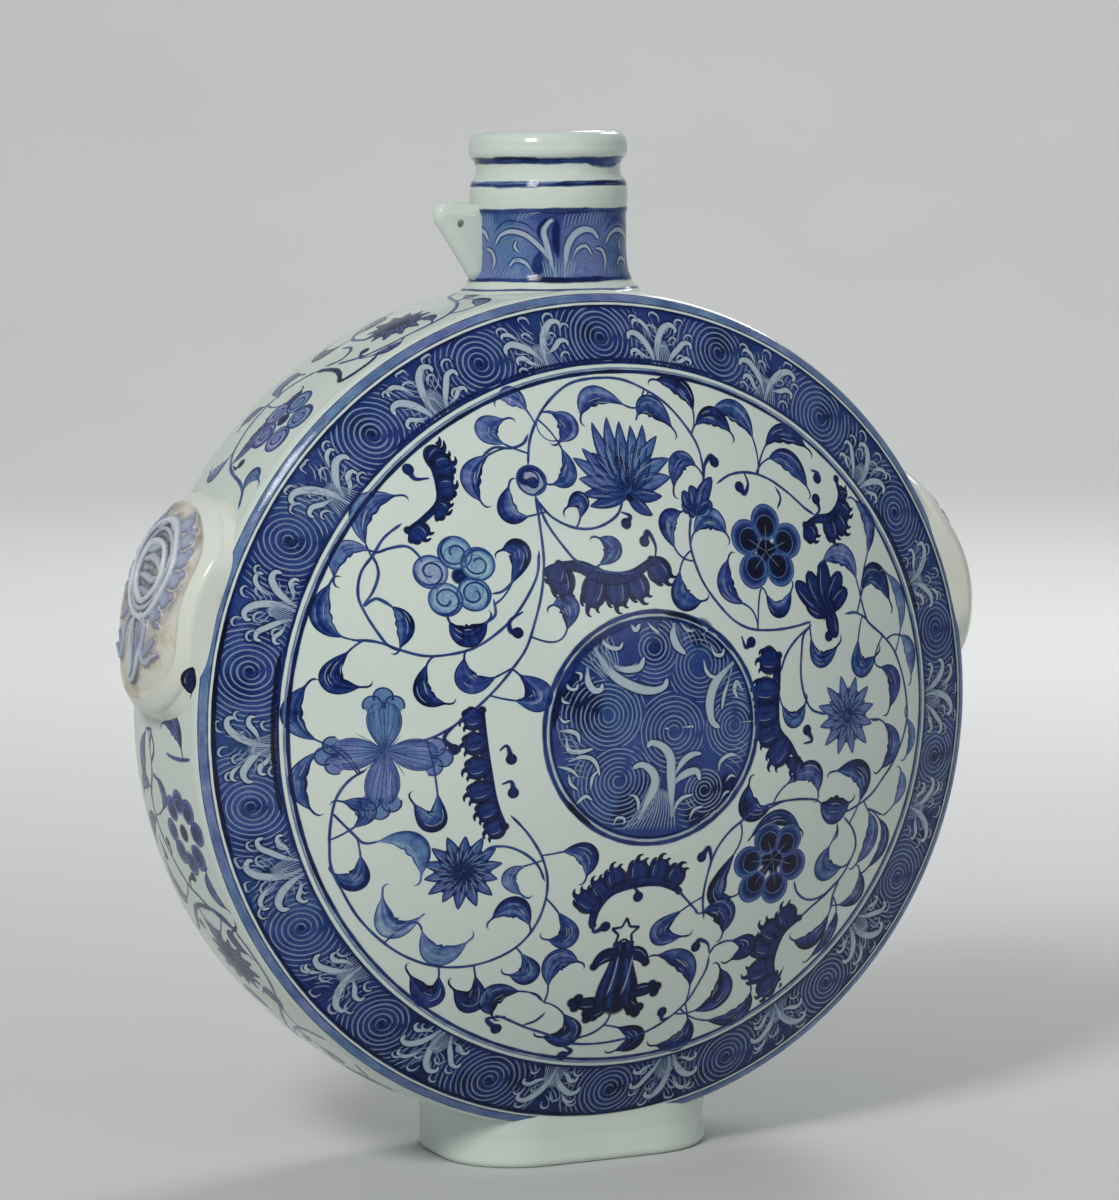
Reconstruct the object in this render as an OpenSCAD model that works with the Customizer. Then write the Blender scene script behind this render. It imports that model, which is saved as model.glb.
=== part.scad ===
// Pilgrim flask: a round, two-faced porcelain flask of thrown and luted pieces.
// Origin: centre of the foot's base. +Z is up, and the front face looks along -Y.

/* [Body] */
// Height from the base of the foot to the top of the lip
total_h = 470; // [440:5:500]
// Height of the centre of the round body above the base
disc_z = 207; // [203:1:211]
// Radius of the drum wall at its middle
drum_r = 194.2; // [192:0.2:196]
// How far the drum wall swells between its seams and its middle
drum_swell = 2.7; // [0:0.1:5]
// Distance from the middle plane to each seam of the drum wall
seam_d = 38; // [35:1:42]
// Distance from the middle plane to the top of a domed face
apex_d = 112.6; // [105:0.2:120]
// Radius of the painted field, where the dome turns into the sloping border
field_r = 154.5; // [150:0.5:158]
// Distance from the middle plane to the edge of the painted field
field_d = 66.3; // [64:0.1:70]
// Radius of the outer edge of the sloping border
border_r = 185.8; // [182:0.2:188]
// Fall of the sloping border over each millimetre of radius
border_slope = 0.6; // [0.5:0.01:0.65]
// Thickness of the shells and of the drum wall
wall_t = 7; // [5:0.5:9]

/* [Neck] */
// Radius of the bore through the mouth and the neck
bore_r = 27; // [24:0.5:29]
// Radius of the neck between its rib and its foot
neck_r = 35.3; // [34.5:0.1:36]
// Radius of the rolled lip
lip_r = 36.4; // [35.5:0.1:37.5]
// Radius of the raised rib below the groove
rib_r = 36.4; // [35.5:0.1:37.5]
// Radius at the bottom of the groove under the lip
groove_r = 32.9; // [32:0.1:34]

/* [Lug] */
// Distance from the neck's centre to the tip of the lug
lug_reach = 57; // [54:0.5:60]
// Thickness of the lug at its middle
lug_t = 9; // [7:0.5:11]
// Radius of the hole through the lug
lug_hole_r = 1.9; // [1.5:0.1:2.4]

/* [Side bosses] */
// Angle of each boss above the horizontal
boss_rise = 16.8; // [14:0.2:20]
// Distance from the centre of the body to the edge of a boss's domed top
boss_edge = 194.5; // [193:0.5:198]
// Rise of the domed top above its edge
boss_crown = 15.2; // [12:0.2:18]
// Radius of the domed top
boss_r = 50.6; // [48:0.2:52]
// Half of the boss's width, where its sides are cut straight to fit the drum
boss_half = 46; // [43:0.2:47]
// Radius of the carved panel
panel_r = 39; // [36:0.5:41]
// Number of scalloped lobes on each side of the carved lotus
lobes = 6; // [4:1:7]

/* [Foot] */
// Half of the foot's width
foot_x = 65.2; // [60:0.2:70]
// Half of the foot's depth
foot_y = 47.8; // [44:0.2:50]
// Outer radius of the foot's corners
foot_corner = 38; // [32:1:42]
// Thickness of the foot's wall
foot_t = 9; // [7:0.5:12]

/* [Hidden] */

$fn = 96;
porcelain = [0.86, 0.89, 0.87];
cobalt_wash = [0.62, 0.67, 0.80];
pale_relief = [0.72, 0.73, 0.80];

dome_steps = 16;
edge_steps = 5;
drum_steps = 8;

// Radius of the drum wall at distance d from the middle plane
function drum_at(d) = drum_r - drum_swell * pow(d / seam_d, 2);

// Distance of the outer face from the middle plane: a shallow dome, then a sloping border
function face_at(r) = r < field_r
    ? apex_d - (apex_d - field_d) * pow(r / field_r, 2)
    : field_d - border_slope * (r - field_r);

// A point on a three-point curve, for the soft edge between the border and the drum wall
function bend(a, b, c, t) = a * pow(1 - t, 2) + b * 2 * t * (1 - t) + c * pow(t, 2);

seam_r = drum_at(seam_d);
cavity_r = seam_r - wall_t;
edge_from = [border_r, face_at(border_r)];
edge_mid = [seam_r + 0.6, face_at(seam_r)];
edge_to = [seam_r, seam_d];

dome_pts = [for (i = [0:dome_steps]) let (r = field_r * i / dome_steps) [r, face_at(r)]];
edge_pts = [for (i = [0:edge_steps]) bend(edge_from, edge_mid, edge_to, i / edge_steps)];
inner_pts = [for (i = [dome_steps:-1:0]) let (r = (cavity_r - 6) * i / dome_steps) [r, face_at(r) - wall_t]];
drum_pts = [for (i = [0:drum_steps]) let (d = seam_d * (1 - 2 * i / drum_steps)) [drum_at(d), d]];

// Stands a profile of [radius, distance] on the body's axis, with distance towards the front
module on_body_axis()
    translate([0, 0, disc_z]) rotate([90, 0, 0]) rotate_extrude() children();

// Puts children on the axis of a boss, side = 1 for the right and -1 for the left
module on_boss_axis(side)
    translate([0, 0, disc_z]) rotate([0, side * (90 - boss_rise), 0]) children();

// One domed face, thrown as a bowl and open at the seam
module shell_shape()
    polygon(concat(dome_pts, edge_pts, [[cavity_r, seam_d]], inner_pts));

// The body with no cavity, for cutting the pieces that are luted onto it
module body_solid() {
    front = concat(dome_pts, edge_pts);
    back = [for (i = [len(front) - 1:-1:0]) [front[i][0], -front[i][1]]];
    drum = [for (i = [1:drum_steps - 1]) drum_pts[i]];
    on_body_axis() polygon(concat(front, drum, back));
}

module front_shell()
    color(cobalt_wash) on_body_axis() shell_shape();

module back_shell()
    color(cobalt_wash) on_body_axis() mirror([0, 1]) shell_shape();

module side_wall()
    color(porcelain) difference() {
        on_body_axis() polygon(concat(drum_pts, [[cavity_r, -seam_d], [cavity_r, seam_d]]));
        translate([0, 0, disc_z + cavity_r / 2]) cylinder(r = bore_r, h = cavity_r);
    }

// Heights on the neck, measured down from the top of the lip
lip_h = 13;
groove_h = 16;
line_h = 23;
rib_h = 28.5;
rib_end_h = 36;
flare_h = 58;
skirt_h = 74;
lip_round = 3.5;

// The neck's outer line, from its hidden lower end up to the inside of the mouth
neck_line = concat(
    [[neck_r + 8, total_h - 90], [neck_r + 7.5, total_h - skirt_h + 0.4]],
    [for (i = [1:5]) bend([neck_r + 7.5, total_h - skirt_h + 0.4], [neck_r + 0.3, total_h - 69],
                          [neck_r, total_h - flare_h], i / 5)],
    [[neck_r, total_h - rib_end_h - 3]],
    [for (i = [1:4]) bend([neck_r, total_h - rib_end_h - 3], [rib_r + 0.1, total_h - rib_end_h + 3],
                          [rib_r, total_h - rib_h], i / 4)],
    [for (i = [1:4]) bend([rib_r, total_h - rib_h], [rib_r, total_h - line_h - 1],
                          [groove_r + 0.7, total_h - line_h + 3], i / 4)],
    [for (i = [1:4]) bend([groove_r + 0.7, total_h - line_h + 3], [groove_r - 0.4, total_h - groove_h],
                          [groove_r + 0.8, total_h - lip_h], i / 4)],
    [for (i = [1:5]) bend([groove_r + 0.8, total_h - lip_h], [lip_r + 0.9, total_h - lip_h + 1.5],
                          [lip_r, total_h - 7], i / 5)],
    [for (i = [1:6]) bend([lip_r, total_h - 7], [lip_r - 0.2, total_h], [lip_r - 6, total_h], i / 6)],
    [for (i = [0:4]) [bore_r + lip_round * (1 - sin(i * 22.5)), total_h - lip_round * (1 - cos(i * 22.5))]]
);

module neck_shape()
    polygon(concat(neck_line, [[bore_r, total_h - 90]]));

module neck()
    color(cobalt_wash) difference() {
        rotate_extrude() neck_shape();
        body_solid();
    }

// Places on the lug, as [distance from the neck's centre, height]
lug_tip = [lug_reach - 6.5, 432.5];
lug_top = [34, 431];
lug_low = [36, 408.5];
lug_hole = [45.3, 428.7];

// A pebble shape that rounds the lug's edges
module pebble(place, r)
    translate([-place[0], 0, place[1]]) scale([1, lug_t / (2 * r), 1]) sphere(r = r, $fn = 32);

module neck_lug()
    color(porcelain) difference() {
        hull() {
            pebble(lug_tip, 6.5);
            pebble(lug_top, 6);
            pebble(lug_low, 6);
        }
        translate([-lug_hole[0], lug_t, lug_hole[1]]) rotate([90, 0, 0]) cylinder(r = lug_hole_r, h = 2 * lug_t);
        rotate_extrude() polygon(concat(neck_line, [[0, total_h], [0, total_h - 90]]));
    }

// Sizes of the boss's collar and of its carving
collar_long = 52.3;
collar_corner = 20;
dome_power = 3.8;
panel_floor = 200;
ground_drop = 0.8;
wash_rise = 0.5;
line_rise = 2;
top_steps = 10;

// Height of the domed top at distance r from its axis
function boss_at(r) = boss_edge + boss_crown * (1 - pow(r / boss_r, dome_power));

// The domed top's line from distance r to its axis, raised by lift
function top_line(r, lift) = concat(
    [for (i = [0:top_steps - 1]) let (t = r * cos(90 * i / top_steps)) [t, boss_at(t) + lift]],
    [[0, boss_at(0) + lift]]
);

// The rounded square that a boss's collar is cut to
module collar_plan() {
    square([2 * (collar_long - collar_corner), 2 * boss_half], center = true);
    square([2 * collar_long, 2 * (boss_half - collar_corner)], center = true);
    for (x = [-1, 1], y = [-1, 1])
        translate([x * (collar_long - collar_corner), y * (boss_half - collar_corner)]) circle(r = collar_corner);
}

// A boss: a domed top that spreads into a collar, cut to a rounded square, with a sunken panel
module boss(side)
    color(porcelain) difference() {
        on_boss_axis(side) difference() {
            intersection() {
                rotate_extrude()
                    polygon(concat([[0, 150], [64, 150], [64, 178], [54, 186], [51.4, 190]], top_line(boss_r, 0)));
                translate([0, 0, 140]) linear_extrude(80) collar_plan();
            }
            translate([0, 0, panel_floor]) cylinder(r = panel_r, h = 20);
        }
        body_solid();
    }

module left_boss() boss(-1);

module right_boss() boss(1);

// Unit vector that looks to the left of the path at point i
function left_at(p, i) = let (a = p[max(i - 1, 0)], b = p[min(i + 1, len(p) - 1)], d = b - a)
    [-d[1], d[0]] / norm(d);

// A raised line along a path, wide in its middle and narrow at its ends
module vein(p, wide)
    let (n = len(p) - 1, half = [for (i = [0:n]) wide / 2 * (0.4 + 0.6 * sin(180 * i / n))])
        polygon(concat([for (i = [0:n]) p[i] - half[i] * left_at(p, i)],
                       [for (i = [n:-1:0]) p[i] + half[i] * left_at(p, i)]));

// A raised ring
module hoop(centre, r, wide)
    translate(centre) difference() {
        circle(r = r + wide / 2);
        circle(r = r - wide / 2);
    }

// Main places of the carved lotus, as [across, along] seen from outside with the neck upwards
bud = [5, 11.5];
flower = [4.5, 13];
flower_r = 22.3;
stem_left = [[2, -8], [1, -17], [4, -24], [4, -33], [1, -38]];
stem_right = [[4, -8], [15, -14], [15, -23], [10, -32], [1, -38]];
curl_line = [[8, -8.5], [15, -13], [15.4, -22], [19, -28.5], [27, -24.5]];
curl_blade = [[18.5, -25], [22, -21], [25.5, -18]];

// Puts a copy of children on the other side of the lotus's stem
module both_sides() {
    children();
    translate([6, 0]) mirror([1, 0]) children();
}

// The scalloped lobes on one side of the flower, as discs of radius r
module lobe_row(r)
    for (i = [0:lobes - 1])
        let (a = -48 + i * 105 / (lobes - 1))
            translate(flower + (flower_r + 3.6) * [cos(a), sin(a)]) circle(r = r, $fn = 24);

// What the carver left standing broad and low: the flower, its lobes and the leaf on its stem
module low_forms() {
    translate(flower) circle(r = flower_r);
    both_sides() lobe_row(4.2);
    polygon(concat(stem_left, [for (i = [len(stem_right) - 2:-1:0]) stem_right[i]]));
}

// What the carver left standing high: rings, seeds and tuft of the lotus, its stem and curling leaves
module high_lines() {
    hoop(bud, 14.5, 2.4);
    hoop(flower, flower_r, 2.2);
    vein([[-3, 17], [4, 18.5], [11, 17], [17, 13]], 3);
    vein([[-4, 7], [4, 6], [11, 6.5], [17, 9]], 3);
    vein([[-2, 32], [3, 37], [7, 37], [12, 32]], 2.6);
    both_sides() {
        vein(curl_line, 3);
        vein(curl_blade, 3.4);
    }
    vein(stem_left, 2.6);
    vein(stem_right, 2.6);
}

// Carves flat outlines out of the domed top raised by rise
module carved(side, rise)
    intersection() {
        rotate_extrude()
            polygon(concat([[0, panel_floor + 1], [panel_r - 0.5, panel_floor + 1]], top_line(panel_r - 0.5, rise)));
        translate([0, 0, panel_floor + 0.5]) rotate([0, 0, side * 90]) linear_extrude(30) children();
    }

module relief(side)
    color(pale_relief) on_boss_axis(side) {
        rotate_extrude()
            polygon(concat([[0, panel_floor], [panel_r, panel_floor]], top_line(panel_r, -ground_drop)));
        carved(side, wash_rise) low_forms();
        carved(side, line_rise) high_lines();
    }

module left_relief() relief(-1);

module right_relief() relief(1);

// The foot's wall in section, with r measured from the centre of a corner
foot_in = foot_corner - foot_t;
foot_top = 45;
foot_line = concat(
    [[foot_in + 1.5, 0], [foot_corner - 3, 0]],
    [for (i = [1:4]) [foot_corner - 3 + 3 * sin(i * 22.5), 3 - 3 * cos(i * 22.5)]],
    [[foot_corner - 0.6, 13], [foot_corner + 0.4, 30], [foot_corner + 0.4, foot_top],
     [foot_in, foot_top], [foot_in, 2]]
);
side_x = foot_x - foot_corner;
side_y = foot_y - foot_corner;

// A straight stretch of the foot's wall, run long from the end of one corner
module foot_side(run)
    rotate([90, 0, 0]) linear_extrude(run) polygon(foot_line);

module foot()
    color(porcelain) difference() {
        union() {
            for (k = [0:3])
                translate([(k == 0 || k == 3 ? 1 : -1) * side_x, (k < 2 ? 1 : -1) * side_y, 0])
                    rotate([0, 0, 90 * k]) rotate_extrude(angle = 90) polygon(foot_line);
            translate([side_x, side_y, 0]) foot_side(2 * side_y);
            rotate([0, 0, 180]) translate([side_x, side_y, 0]) foot_side(2 * side_y);
            rotate([0, 0, 90]) translate([side_y, side_x, 0]) foot_side(2 * side_x);
            rotate([0, 0, 270]) translate([side_y, side_x, 0]) foot_side(2 * side_x);
        }
        body_solid();
    }

front_shell();
back_shell();
side_wall();
neck();
neck_lug();
left_boss();
right_boss();
left_relief();
right_relief();
foot();
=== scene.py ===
"""Looks of the porcelain pilgrim flask: glaze, painted scrolls and waves, carved bosses, stage and light."""

from __future__ import annotations

import logging
import math
import random
from dataclasses import dataclass
from enum import Enum
from typing import Any, Sequence

import bpy
import numpy as np
from mathutils import Matrix, Vector


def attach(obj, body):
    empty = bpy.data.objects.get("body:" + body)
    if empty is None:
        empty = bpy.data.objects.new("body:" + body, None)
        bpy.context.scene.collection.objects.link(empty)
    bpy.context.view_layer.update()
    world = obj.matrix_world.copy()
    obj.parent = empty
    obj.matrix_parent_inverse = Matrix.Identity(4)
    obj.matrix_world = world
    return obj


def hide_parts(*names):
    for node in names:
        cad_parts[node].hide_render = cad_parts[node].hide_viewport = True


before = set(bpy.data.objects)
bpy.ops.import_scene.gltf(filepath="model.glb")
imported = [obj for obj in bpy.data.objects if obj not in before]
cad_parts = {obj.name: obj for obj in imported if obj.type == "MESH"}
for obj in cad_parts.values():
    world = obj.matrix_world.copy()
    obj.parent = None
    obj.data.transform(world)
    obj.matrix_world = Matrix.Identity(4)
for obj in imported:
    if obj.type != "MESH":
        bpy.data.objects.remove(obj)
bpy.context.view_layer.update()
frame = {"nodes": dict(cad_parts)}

LOG = logging.getLogger("flask")
Array = np.ndarray
Path = Sequence[tuple[float, float]]
Colour = tuple[float, float, float]

MM = 0.001
BODY = "root"
DISC_Z = 207.0


# Shader maths


class Wire:
    """A node socket that takes Python's arithmetic."""

    def __init__(self, graph: "Graph", socket: Any) -> None:
        """Keep the graph that the socket belongs to."""
        self.graph = graph
        self.socket = socket

    def _math(self, operation: str, first: Any, second: Any) -> "Wire":
        """Add one Math node and return its output."""
        return self.graph.add("ShaderNodeMath", {"operation": operation}, {0: first, 1: second})

    def __add__(self, other: Any) -> "Wire":
        """Return self + other."""
        return self._math("ADD", self, other)

    def __radd__(self, other: Any) -> "Wire":
        """Return other + self."""
        return self._math("ADD", other, self)

    def __sub__(self, other: Any) -> "Wire":
        """Return self - other."""
        return self._math("SUBTRACT", self, other)

    def __rsub__(self, other: Any) -> "Wire":
        """Return other - self."""
        return self._math("SUBTRACT", other, self)

    def __mul__(self, other: Any) -> "Wire":
        """Return self * other."""
        return self._math("MULTIPLY", self, other)

    def __rmul__(self, other: Any) -> "Wire":
        """Return other * self."""
        return self._math("MULTIPLY", other, self)


class Graph:
    """The node tree of one material."""

    def __init__(self, name: str) -> None:
        """Start an empty material.

        Args:
            name: The material's name.
        """
        self.material = bpy.data.materials.new(name)
        self.material.use_nodes = True
        self.tree = self.material.node_tree
        self.tree.nodes.clear()

    def add(self, kind: str, settings: dict[str, Any] | None = None,
            inputs: dict[Any, Any] | None = None, output: Any = 0) -> Wire:
        """Add a node, set it up and feed it.

        Args:
            kind: The node's type.
            settings: Properties set first; "stops" holds a ramp's positions and colours.
            inputs: Values or wires by socket name or index.
            output: The output that is returned, or None where the node has none.

        Returns:
            The chosen output.
        """
        node = self.tree.nodes.new(kind)
        for key, value in (settings or {}).items():
            if key == "stops":
                self._stops(node.color_ramp, value)
            else:
                setattr(node, key, value)
        for key, value in (inputs or {}).items():
            socket = node.inputs[key]
            if isinstance(value, Wire):
                self.tree.links.new(value.socket, socket)
            else:
                socket.default_value = value
        return Wire(self, None if output is None else node.outputs[output])

    @staticmethod
    def _stops(ramp: Any, stops: Sequence[tuple[float, Colour]]) -> None:
        """Fill a colour ramp with its stops."""
        while len(ramp.elements) < len(stops):
            ramp.elements.new(1.0)
        for element, (position, colour) in zip(ramp.elements, stops):
            element.position = position
            element.color = (*colour, 1.0)

    def noise(self, scale: float, detail: float = 2.0, rough: float = 0.5) -> Wire:
        """Return smooth noise over the object's own coordinates.

        Args:
            scale: Features per metre.
            detail: Octaves.
            rough: Weight of the finer octaves.

        Returns:
            The noise value, about 0.5 on average.
        """
        place = self.add("ShaderNodeTexCoord", output="Object")
        return self.add("ShaderNodeTexNoise", {}, {"Vector": place, "Scale": scale, "Detail": detail,
                                                   "Roughness": rough})

    def attribute(self, name: str) -> Wire:
        """Return a number stored on the mesh."""
        return self.add("ShaderNodeAttribute", {"attribute_name": name}, output="Fac")

    def mix(self, share: Any, first: Any, second: Any, blend: str = "MIX") -> Wire:
        """Mix two colours.

        Args:
            share: How much of the second is taken.
            first: Wire or colour.
            second: Wire or colour.
            blend: Blender's name of the blend.

        Returns:
            The mixed colour.
        """
        first = first if isinstance(first, Wire) else (*first, 1.0)
        second = second if isinstance(second, Wire) else (*second, 1.0)
        return self.add("ShaderNodeMix", {"data_type": "RGBA", "blend_type": blend},
                        {0: share, 6: first, 7: second}, output=2)

    def span(self, value: Wire, low: float, high: float, to_low: float, to_high: float) -> Wire:
        """Map a range of numbers smoothly onto another."""
        return self.add("ShaderNodeMapRange", {"interpolation_type": "SMOOTHSTEP"},
                        {0: value, 1: low, 2: high, 3: to_low, 4: to_high})

    def ramp(self, value: Wire, stops: Sequence[tuple[float, Colour]]) -> Wire:
        """Turn a number into a colour."""
        return self.add("ShaderNodeValToRGB", {"stops": stops}, {0: value})

    def bump(self, height: Wire, strength: float, distance: float) -> Wire:
        """Return a bumped normal."""
        return self.add("ShaderNodeBump", {}, {"Height": height, "Strength": strength, "Distance": distance})

    def surface(self, **inputs: Any) -> bpy.types.Material:
        """Close the tree with a Principled shader.

        Args:
            inputs: Socket values or wires, with underscores for spaces.

        Returns:
            The finished material.
        """
        named = {key.replace("_", " "): value for key, value in inputs.items()}
        shader = self.add("ShaderNodeBsdfPrincipled", {}, named)
        self.add("ShaderNodeOutputMaterial", {}, {"Surface": shader}, output=None)
        return self.material


# Finishes


@dataclass(frozen=True)
class Gloss:
    """The glaze's shine, shared by the bare porcelain and the paint under it."""

    rough_low: float = 0.09
    rough_high: float = 0.2
    ripple: float = 0.12
    ripple_depth: float = 0.0004
    sheen: float = 0.27

    def sockets(self, graph: Graph) -> dict[str, Any]:
        """Return the roughness and the bumped normal.

        Args:
            graph: The material's tree.

        Returns:
            Values for the Principled shader.
        """
        wide = graph.noise(28.0, 3.0)
        fine = graph.noise(420.0, 2.0)
        height = wide + 0.06 * fine
        return {"Roughness": graph.span(fine, 0.3, 0.75, self.rough_low, self.rough_high),
                "Normal": graph.bump(height, self.ripple, self.ripple_depth), "IOR": 1.5,
                "Specular IOR Level": self.sheen}


@dataclass(frozen=True)
class WhiteGlaze:
    """Pale blue-green porcelain glaze with warm and cool drifts, pooled tint and pin holes."""

    name: str
    cool: Colour = (0.63, 0.725, 0.67)
    warm: Colour = (0.70, 0.745, 0.655)
    speck: Colour = (0.20, 0.15, 0.10)
    warmth: float = 0.35
    specks: float = 0.5
    drips: float = 0.0
    tan: Colour = (0.42, 0.33, 0.20)

    def build(self) -> bpy.types.Material:
        """Return the glaze's material."""
        graph = Graph(self.name)
        drift = graph.span(graph.noise(14.0, 3.0), 0.35, 0.7, 0.0, 1.0)
        base = graph.mix(drift * self.warmth, self.cool, self.warm)
        dots = graph.span(graph.noise(900.0, 1.0), 0.79, 0.83, 0.0, self.specks)
        base = graph.mix(dots, base, self.speck)
        if self.drips:
            pooled = graph.span(graph.noise(60.0, 4.0, 0.6), 0.52, 0.70, 0.0, self.drips)
            base = graph.mix(pooled * graph.attribute("ink"), base, self.tan)
        return graph.surface(Base_Color=base, **Gloss().sockets(graph))


@dataclass(frozen=True)
class Cobalt:
    """Cobalt paint under the glaze: ink sets its strength, cover its edge, with heaped dark mottles."""

    name: str
    mottle: float = 0.26

    def build(self) -> bpy.types.Material:
        """Return the paint's material."""
        graph = Graph(self.name)
        grain = graph.noise(750.0, 3.0, 0.6)
        cloud = graph.noise(120.0, 2.0)
        ink = graph.attribute("ink") + (grain - 0.5) * self.mottle + (cloud - 0.5) * 0.22
        colour = graph.ramp(ink, (
            (0.0, (0.54, 0.63, 0.68)),
            (0.30, (0.15, 0.225, 0.44)),
            (0.55, (0.030, 0.066, 0.235)),
            (0.74, (0.006, 0.021, 0.130)),
            (0.88, (0.003, 0.009, 0.050)),
            (1.0, (0.005, 0.004, 0.012)),
        ))
        hue = graph.span(graph.noise(40.0, 2.0), 0.35, 0.65, 0.0, 1.0)
        tint = graph.mix(hue, (1.12, 0.95, 1.02), (0.80, 1.06, 0.98))
        colour = graph.mix(1.0, colour, tint, "MULTIPLY")
        return graph.surface(Base_Color=colour, Alpha=graph.attribute("cover"), **Gloss().sockets(graph))


@dataclass(frozen=True)
class Reserve:
    """Porcelain left white between brush strokes: foam, wave lines and slits in leaves."""

    name: str
    bare: Colour = (0.42, 0.52, 0.575)
    veiled: Colour = (0.20, 0.27, 0.43)

    def build(self) -> bpy.types.Material:
        """Return the reserve's material."""
        graph = Graph(self.name)
        ink = graph.attribute("ink") + (graph.noise(500.0, 2.0) - 0.5) * 0.3
        colour = graph.mix(graph.span(ink, 0.0, 1.0, 0.0, 1.0), self.bare, self.veiled)
        return graph.surface(Base_Color=colour, Alpha=graph.attribute("cover"), **Gloss().sockets(graph))


@dataclass(frozen=True)
class CarvedClay:
    """The bosses' carving: pale blue-grey slip on what stands up, ivory ground, brown stains in the hollows, painted
    shade on the flanks of the raised forms and in the grooves beside them, and a painted highlight on their tops.
    """

    name: str
    ground: Colour = (0.70, 0.69, 0.61)
    # side: painted shade on the flanks of the raised forms.
    side: Colour = (0.20, 0.21, 0.33)
    slip: Colour = (0.38, 0.44, 0.55)
    # crest: painted highlight on the tops of the raised forms.
    crest: Colour = (0.66, 0.71, 0.73)
    stain: Colour = (0.40, 0.27, 0.14)
    # Painted shade in the grooves beside the raised forms.
    groove_shade: Colour = (0.105, 0.095, 0.125)

    def build(self) -> bpy.types.Material:
        """Return the carving's material."""
        graph = Graph(self.name)
        rise = graph.attribute("ink") + (graph.noise(500.0, 3.0) - 0.5) * 0.16
        # Colour by height: ivory ground, painted shade on the flanks, pale slip, then a painted highlight on the
        # highest tops.
        colour = graph.ramp(rise, ((0.0, self.ground), (0.14, self.ground), (0.30, self.side), (0.62, self.slip),
                                   (0.92, self.crest)))
        patch = graph.span(graph.noise(70.0, 4.0, 0.65), 0.45, 0.66, 0.0, 0.75)
        # Painted shade in the grooves, fed by the shade attribute.
        painted_groove_shade = graph.attribute("shade") * graph.span(graph.noise(160.0, 3.0), 0.3, 0.6, 0.35, 1.0)
        low = graph.span(graph.attribute("ink"), 0.0, 0.35, 1.0, 0.0)
        colour = graph.mix(patch * (0.15 + 0.5 * low), colour, self.stain)
        colour = graph.mix(painted_groove_shade, colour, self.groove_shade)
        rough = graph.span(graph.noise(900.0, 2.0), 0.3, 0.7, 0.3, 0.5)
        normal = graph.bump(graph.noise(1400.0, 3.0), 0.3, 0.0003)
        return graph.surface(Base_Color=colour, Roughness=rough, Normal=normal, IOR=1.5)


# Surfaces that carry paint


def quadratic(first: Any, middle: Any, last: Any, share: Array) -> Array:
    """Return points on a three-point curve.

    Args:
        first: Start.
        middle: The point that pulls the curve.
        last: End.
        share: Places along the curve, 0 to 1.

    Returns:
        One row for each share.
    """
    a, b, c = (np.asarray(p, float) for p in (first, middle, last))
    t = np.asarray(share, float)[:, None]
    return a * (1 - t) ** 2 + b * 2 * t * (1 - t) + c * t ** 2


def step(value: Array, low: float, high: float) -> Array:
    """Rise smoothly from 0 at low to 1 at high."""
    t = np.clip((value - low) / (high - low), 0.0, 1.0)
    return t * t * (3 - 2 * t)


class Canvas:
    """A surface that paint lies on. Flat places in millimetres become points in metres."""

    def place(self, flat: Array, lift: Array) -> Array:
        """Return 3-D points.

        Args:
            flat: Rows of across and up, in millimetres.
            lift: Height over the surface, in millimetres.

        Returns:
            Rows of x, y, z in metres.
        """
        raise NotImplementedError


@dataclass
class FaceCanvas(Canvas):
    """A domed face with its sloping border and rounded edge; radius is measured along the section."""

    back: bool = False
    apex: float = 112.6
    field_r: float = 154.5
    field_d: float = 66.3
    border_r: float = 185.8
    slope: float = 0.6
    seam_r: float = 191.5
    seam_d: float = 38.0
    edge_run: float = 12.2

    def section(self, run: Array) -> tuple[Array, Array, Array, Array]:
        """Return radius, distance from the middle plane and the section's normal.

        Args:
            run: Distance from the centre, along the face and round the edge.

        Returns:
            Radius, distance, and the normal's two parts.
        """
        fall = self.apex - self.field_d
        inside = run < self.field_r
        reach = np.where(inside, self.apex - fall * (run / self.field_r) ** 2,
                         self.field_d - self.slope * (run - self.field_r))
        grade = np.where(inside, 2 * fall * run / self.field_r ** 2, self.slope)
        size = np.hypot(grade, 1.0)
        radius, out, along = run.copy(), grade / size, 1.0 / size
        edge = run > self.border_r
        if edge.any():
            t = np.clip((run[edge] - self.border_r) / self.edge_run, 0.0, 1.0)
            start = (self.border_r, self.field_d - self.slope * (self.border_r - self.field_r))
            pull = (self.seam_r + 0.6, self.field_d - self.slope * (self.seam_r - self.field_r))
            end = (self.seam_r, self.seam_d)
            curve = quadratic(start, pull, end, t)
            ahead = quadratic(start, pull, end, t + 0.01) - quadratic(start, pull, end, t - 0.01)
            ahead /= np.linalg.norm(ahead, axis=1)[:, None]
            past = np.maximum(run[edge] - self.border_r - self.edge_run, 0.0)
            radius[edge] = curve[:, 0]
            reach[edge] = curve[:, 1] - past
            out[edge], along[edge] = -ahead[:, 1], ahead[:, 0]
        return radius, reach, out, along

    def place(self, flat: Array, lift: Array) -> Array:
        """Return 3-D points on the face; see Canvas.place."""
        run = np.hypot(flat[:, 0], flat[:, 1])
        ray = flat / np.maximum(run, 1e-6)[:, None]
        radius, reach, out, along = self.section(run)
        radius = radius + out * lift
        x, y, z = ray[:, 0] * radius, -(reach + along * lift), ray[:, 1] * radius + DISC_Z
        turn = -1.0 if self.back else 1.0
        return np.stack([x * turn, y * turn, z], 1) * MM


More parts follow.
